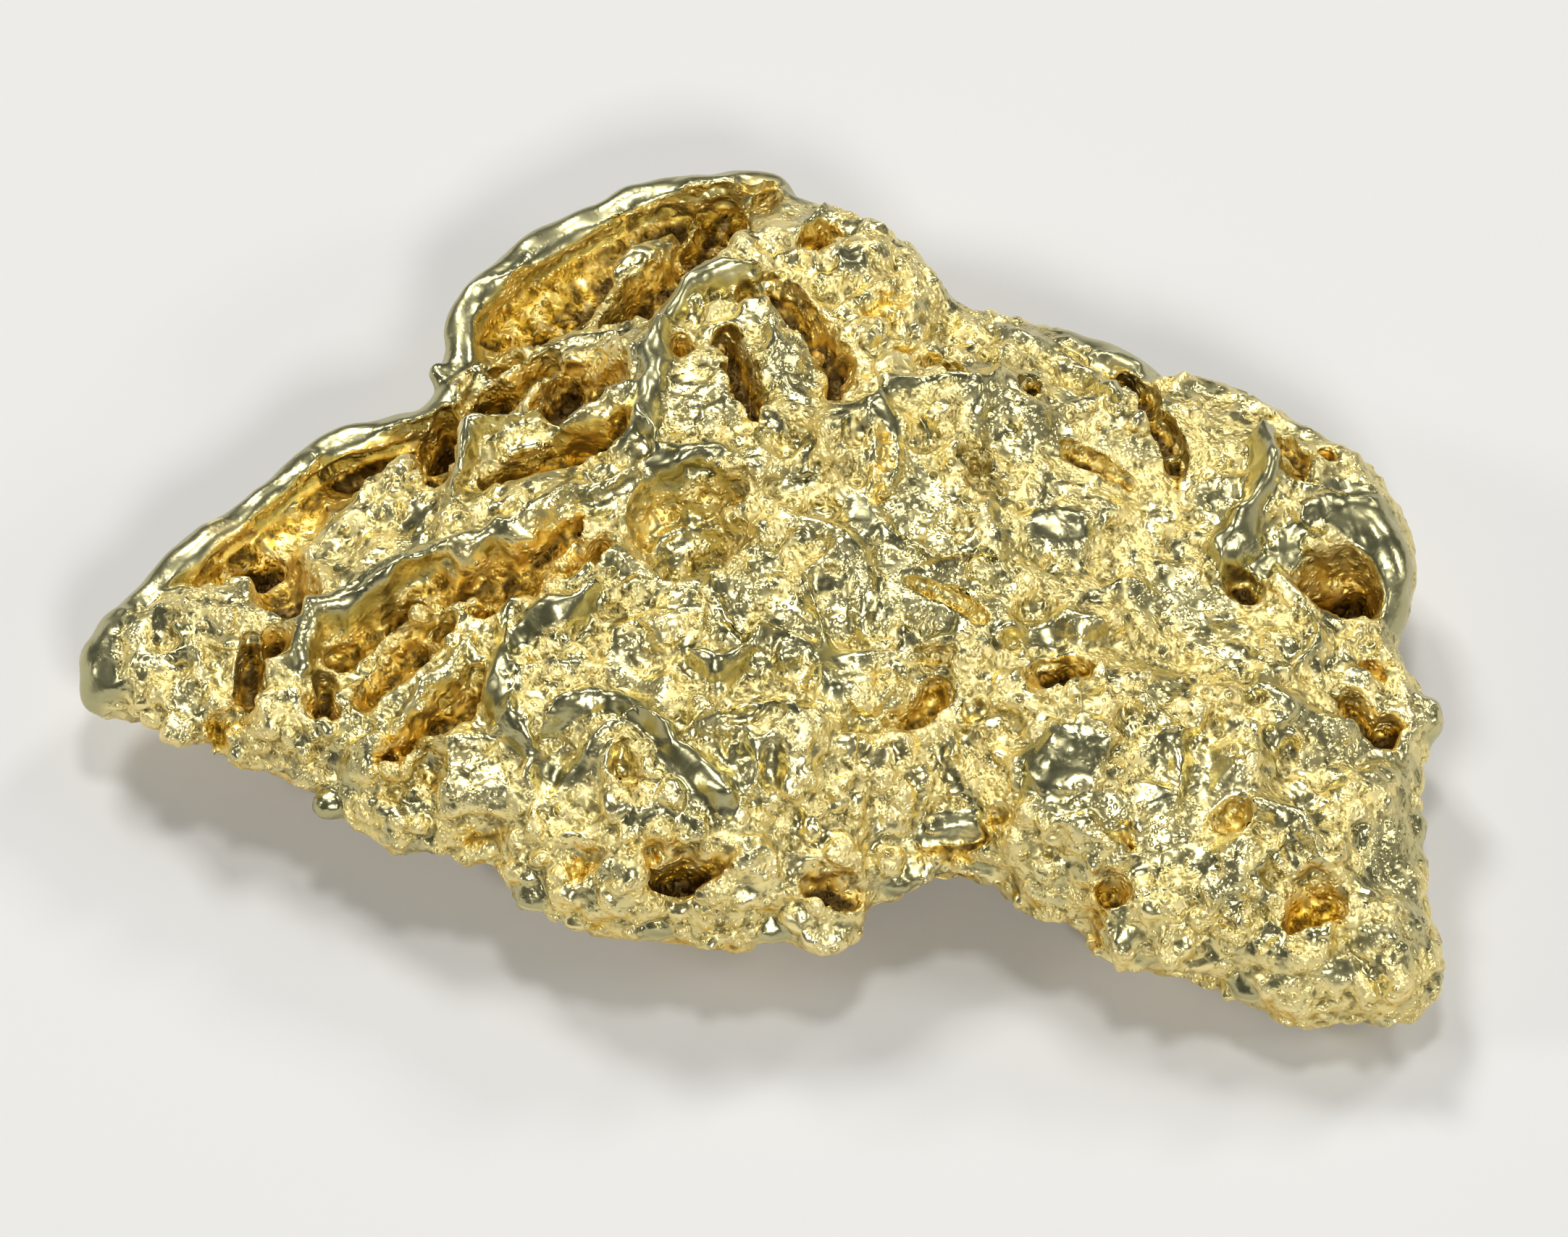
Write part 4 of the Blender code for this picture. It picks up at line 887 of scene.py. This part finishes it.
# %% [markdown]
# The net is now finer than it needs to be.  Decimate merges faces, first under the nugget, where
# a vertex group lets it, and keeps them where the upper crust is busy.

# %% Thin the net
TRIANGLES = 192000
thin_obj = as_object("thin", body)
below = thin_obj.vertex_groups.new(name="below")
levels = np.round(10.0 * step(normals[:, 2], -0.2, -0.8)).astype(int)
for level in range(11):
    below.add(np.nonzero(levels == level)[0].tolist(), 0.50 + 0.05 * level, "REPLACE")
thin = thin_obj.modifiers.new("thin", "DECIMATE")
thin.ratio = min(1.0, TRIANGLES / (2.0 * len(body.polygons)))
thin.vertex_group = "below"
thin.vertex_group_factor = 1.0
thin.use_collapse_triangulate = True
body = baked(thin_obj)
points, normals = read_points(body)
print("triangles", len(body.polygons), "facing up", int((normals[:, 2] > 0).sum()))

# %% [markdown]
# Where the skin lies below the smoothed form it is a hollow, where it stands above it is a
# crest.  These and the masks above are kept on the mesh as numbers, for the material to read.

# %% Numbers kept on the mesh
edges = read_edges(body)
near = smoothed(points, edges, 5)
far = smoothed(near, edges, 50)
crest = ((points - near) * normals).sum(1)
hollow = ((far - points) * normals).sum(1)
worn = worn_at(points, normals[:, 2])
print("crest mm", np.percentile(crest, (1, 50, 99)).round(3),
      "hollow mm", np.percentile(hollow, (1, 50, 99)).round(3))


def keep(mesh, name, values):
    """Store one number per vertex."""
    layer = mesh.attributes.new(name, "FLOAT", "POINT")
    layer.data.foreach_set("value", values.astype(np.float32))


keep(body, "hollow", step(hollow, 0.01, 0.16))
keep(body, "crest", step(crest, -0.012, 0.014))
keep(body, "worn", worn)
# The kept stain also holds painted shade under the polished rim and on the down-facing flank.
keep(body, "stain", stain_and_shade_at(points, normals[:, 2]))

# %% [markdown]
# The solid is centred on its box and its belly lumps are worn flat where it lies.  The dressed
# skin is moved in just the same way, so both stay in step.

# %% Place it as the solid is placed
def placed(points):
    """Centre X and Y on the box, set the length and the thickness, and wear off the belly."""
    low, high = points.min(0), points.max(0)
    out = points.copy()
    out[:, :2] = (points[:, :2] - 0.5 * (low[:2] + high[:2])) * LENGTH / (high[0] - low[0])
    out[:, 2] = (points[:, 2] - low[2] - WORN) * THICKNESS / (high[2] - low[2] - WORN)
    out[:, 2] = np.maximum(out[:, 2], 0.0)
    return out


points = placed(points)
write_points(body, points * MM)
print("placed box", np.round(points.min(0), 3), np.round(points.max(0), 3))

# %% [markdown]
# The finish.  Gold is all mirror and no paint: its colour is the colour of its reflections.  So
# the finish is mostly a matter of polish.  Worn ropes and scattered patches are smooth, with a
# dark olive reflection of the dim room painted into their colour, and the crust between is matt
# and scatters the light.  Painted shade lies in the crevices between the grains and a painted
# highlight on their tops, and in the recesses an iron stain, ochre at the edge and brown on the
# floor, which also carries painted shade under the polished rim and on the down-facing flank.
# Painting all this by hand would never fit the grain: the numbers on the mesh do, and noise
# breaks them up.

# %% Material
# Share of the way from clean crust to the stained floor of a pit, and the colour there; the
# same colours carry painted shade in grain crevices, under the polished rim and on the near flank.
STAIN_AND_SHADE = ((0.00, (0.95, 0.79, 0.33)), (0.25, (0.93, 0.69, 0.19)), (0.50, (0.76, 0.47, 0.045)),
         (0.75, (0.38, 0.22, 0.016)), (1.00, (0.08, 0.045, 0.006)))
# The second colour is a painted highlight on the tops of grains.
PALE, GRAIN_TOP_HIGHLIGHT = (0.94, 0.82, 0.40, 1.0), (1.00, 0.86, 0.46, 1.0)      # pale patches, tops of grains
# A painted dark reflection of the room on calm metal, and painted shade in the crevices between
# grains.
DARK_REFLECTION, CREVICE_SHADE = (0.37, 0.36, 0.20, 1.0), (0.15, 0.14, 0.075, 1.0)
SHAKE, GRAIN_HEIGHT = 0.00008, 0.000035    # metres; 0.000035 is the height of the finest grain


def gold_material():
    """Principled metal whose colour, polish and bump follow the numbers kept on the mesh."""
    material = bpy.data.materials.new("native_gold")
    material.use_nodes = True
    nodes, links = material.node_tree.nodes, material.node_tree.links
    shader = nodes["Principled BSDF"]

    def plug(value, socket):
        """Link an output, or set a plain value."""
        if isinstance(value, bpy.types.NodeSocket):
            links.new(value, socket)
        else:
            socket.default_value = value

    def math_node(operation, *values, clamp=False):
        node = nodes.new("ShaderNodeMath")
        node.operation, node.use_clamp = operation, clamp
        for value, socket in zip(values, node.inputs):
            plug(value, socket)
        return node.outputs[0]

    def times(a, b, clamp=False):
        return math_node("MULTIPLY", a, b, clamp=clamp)

    def larger(a, b):
        return math_node("MAXIMUM", a, b)

    def rest_of(value):
        return math_node("SUBTRACT", 1.0, value)

    def attribute(name):
        node = nodes.new("ShaderNodeAttribute")
        node.attribute_name = name
        return node.outputs["Fac"]

    def fit(value, low, high, to_low=0.0, to_high=1.0):
        node = nodes.new("ShaderNodeMapRange")
        node.interpolation_type = "SMOOTHSTEP"
        for k, v in enumerate((value, low, high, to_low, to_high)):
            plug(v, node.inputs[k])
        return node.outputs[0]

    def texture(kind, output, scale, vector, **values):
        node = nodes.new("ShaderNodeTex" + kind)
        links.new(vector, node.inputs["Vector"])
        for name, value in (("Scale", scale), *values.items()):
            node.inputs[name].default_value = value
        return node.outputs[output]

    def mix(factor, a, b):
        node = nodes.new("ShaderNodeMix")
        node.data_type = "RGBA"
        plug(factor, node.inputs[0])
        plug(a, node.inputs[6])
        plug(b, node.inputs[7])
        return node.outputs[2]

    place = nodes.new("ShaderNodeTexCoord").outputs["Object"]
    worn, stain, hollow, crest = (attribute(n) for n in ("worn", "stain", "hollow", "crest"))

    # Coordinates shaken by a noise, so that grains are not cut from one stencil.
    shake = nodes.new("ShaderNodeVectorMath")
    shake.operation = "MULTIPLY_ADD"
    links.new(texture("Noise", "Color", 5000.0, place, Detail=1.0), shake.inputs[0])
    shake.inputs[1].default_value = (SHAKE, SHAKE, SHAKE)
    links.new(place, shake.inputs[2])
    shaken = shake.outputs[0]

    patch = texture("Noise", "Fac", 4500.0, place, Detail=2.0)
    broad = texture("Noise", "Fac", 700.0, place, Detail=1.0)
    speck = texture("Noise", "Fac", 11000.0, place, Detail=2.0)

    # Depth of stain and painted shade: the recess's own strength (with the painted shade kept under
    # the polished rim and on the down-facing flank), stronger where it is sunken, plus painted shade
    # in the crevices between grains, broken up by noise.
    gap = fit(crest, 0.46, 0.10)
    sunken = math_node("MULTIPLY_ADD", hollow, 0.46, 0.68)
    depth = math_node("MULTIPLY_ADD", stain, sunken, times(gap, 0.14))
    ragged = math_node("ADD", math_node("SUBTRACT", speck, 0.5), depth)
    depth = times(fit(ragged, 0.06, 1.06), fit(worn, 0.3, 0.8, 1.0, 0.10))
    ramp = nodes.new("ShaderNodeValToRGB")
    stops = ramp.color_ramp.elements
    for where, _ in STAIN_AND_SHADE[1:-1]:
        stops.new(where)
    for stop, (_, color) in zip(stops, STAIN_AND_SHADE):
        stop.color = (*color, 1.0)
    links.new(depth, ramp.inputs["Fac"])

    # Calm metal is worn or lies in a polished patch.  It is paler, or darker where a dark reflection
    # of the room is painted into its colour.
    patches = fit(patch, 0.48, 0.62, 0.0, 0.80)
    calm = larger(worn, patches)
    pale = larger(fit(broad, 0.45, 0.65, 0.0, 0.45), times(calm, 0.40))
    silver = times(pale, rest_of(depth))
    color = mix(silver, ramp.outputs["Color"], PALE)
    # Painted highlight: the tops of grains are paled, as if lit.
    color = mix(fit(crest, 0.62, 1.0, 0.0, 0.35), color, GRAIN_TOP_HIGHLIGHT)
    # Painted dark reflection: worn metal and some patches are darkened to the olive of a dim room
    # mirrored.
    dark_reflection = larger(fit(worn, 0.35, 0.85, 0.0, 0.80),
                  times(patches, fit(broad, 0.54, 0.42, 0.0, 0.75)))
    color = mix(times(dark_reflection, fit(stain, 0.2, 0.6, 1.0, 0.0)), color, DARK_REFLECTION)
    # Painted shade in the crevices between grains, spared on stained and worn metal.
    spared = larger(fit(stain, 0.10, 0.50), fit(worn, 0.3, 0.8, 0.0, 0.8))
    crevice_shade = times(gap, fit(speck, 0.42, 0.60, 0.10, 0.65))
    color = mix(times(crevice_shade, rest_of(spared)), color, CREVICE_SHADE)
    links.new(color, shader.inputs["Base Color"])
    links.new(fit(depth, 0.35, 1.0, 1.0, 0.75), shader.inputs["Metallic"])

    # Relief too fine for the net: round grains of 0.1 mm and of 0.04 mm.
    large = fit(texture("Voronoi", "Distance", 8500.0, shaken), 0.50, 0.08)
    small = fit(texture("Voronoi", "Distance", 20000.0, shaken), 0.55, 0.10)
    grains = math_node("MULTIPLY_ADD", small, fit(broad, 0.42, 0.58, 0.60, 0.30), large)

    # Polish: full on worn metal, in patches and on the tops of grains elsewhere.
    tops = times(large, fit(crest, 0.45, 0.9, 0.3, 0.9))
    shine = times(larger(calm, tops), rest_of(depth), clamp=True)
    rough = larger(fit(shine, 0.0, 1.0, 0.50, 0.24), fit(worn, 0.4, 1.0, 0.0, 0.33))
    links.new(rough, shader.inputs["Roughness"])

    height = times(grains, fit(calm, 0.0, 0.9, 1.0, 0.05))
    bump = nodes.new("ShaderNodeBump")
    bump.inputs["Strength"].default_value = 0.9
    bump.inputs["Distance"].default_value = GRAIN_HEIGHT
    links.new(height, bump.inputs["Height"])
    links.new(bump.outputs["Normal"], shader.inputs["Normal"])
    return material


body.shade_smooth()
body.materials.clear()
body.materials.append(gold_material())
body.name = "nugget_skin"
nugget = as_object("nugget_skin", body)
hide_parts("nugget")
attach(nugget, "root")
print("material nodes", len(body.materials[0].node_tree.nodes))
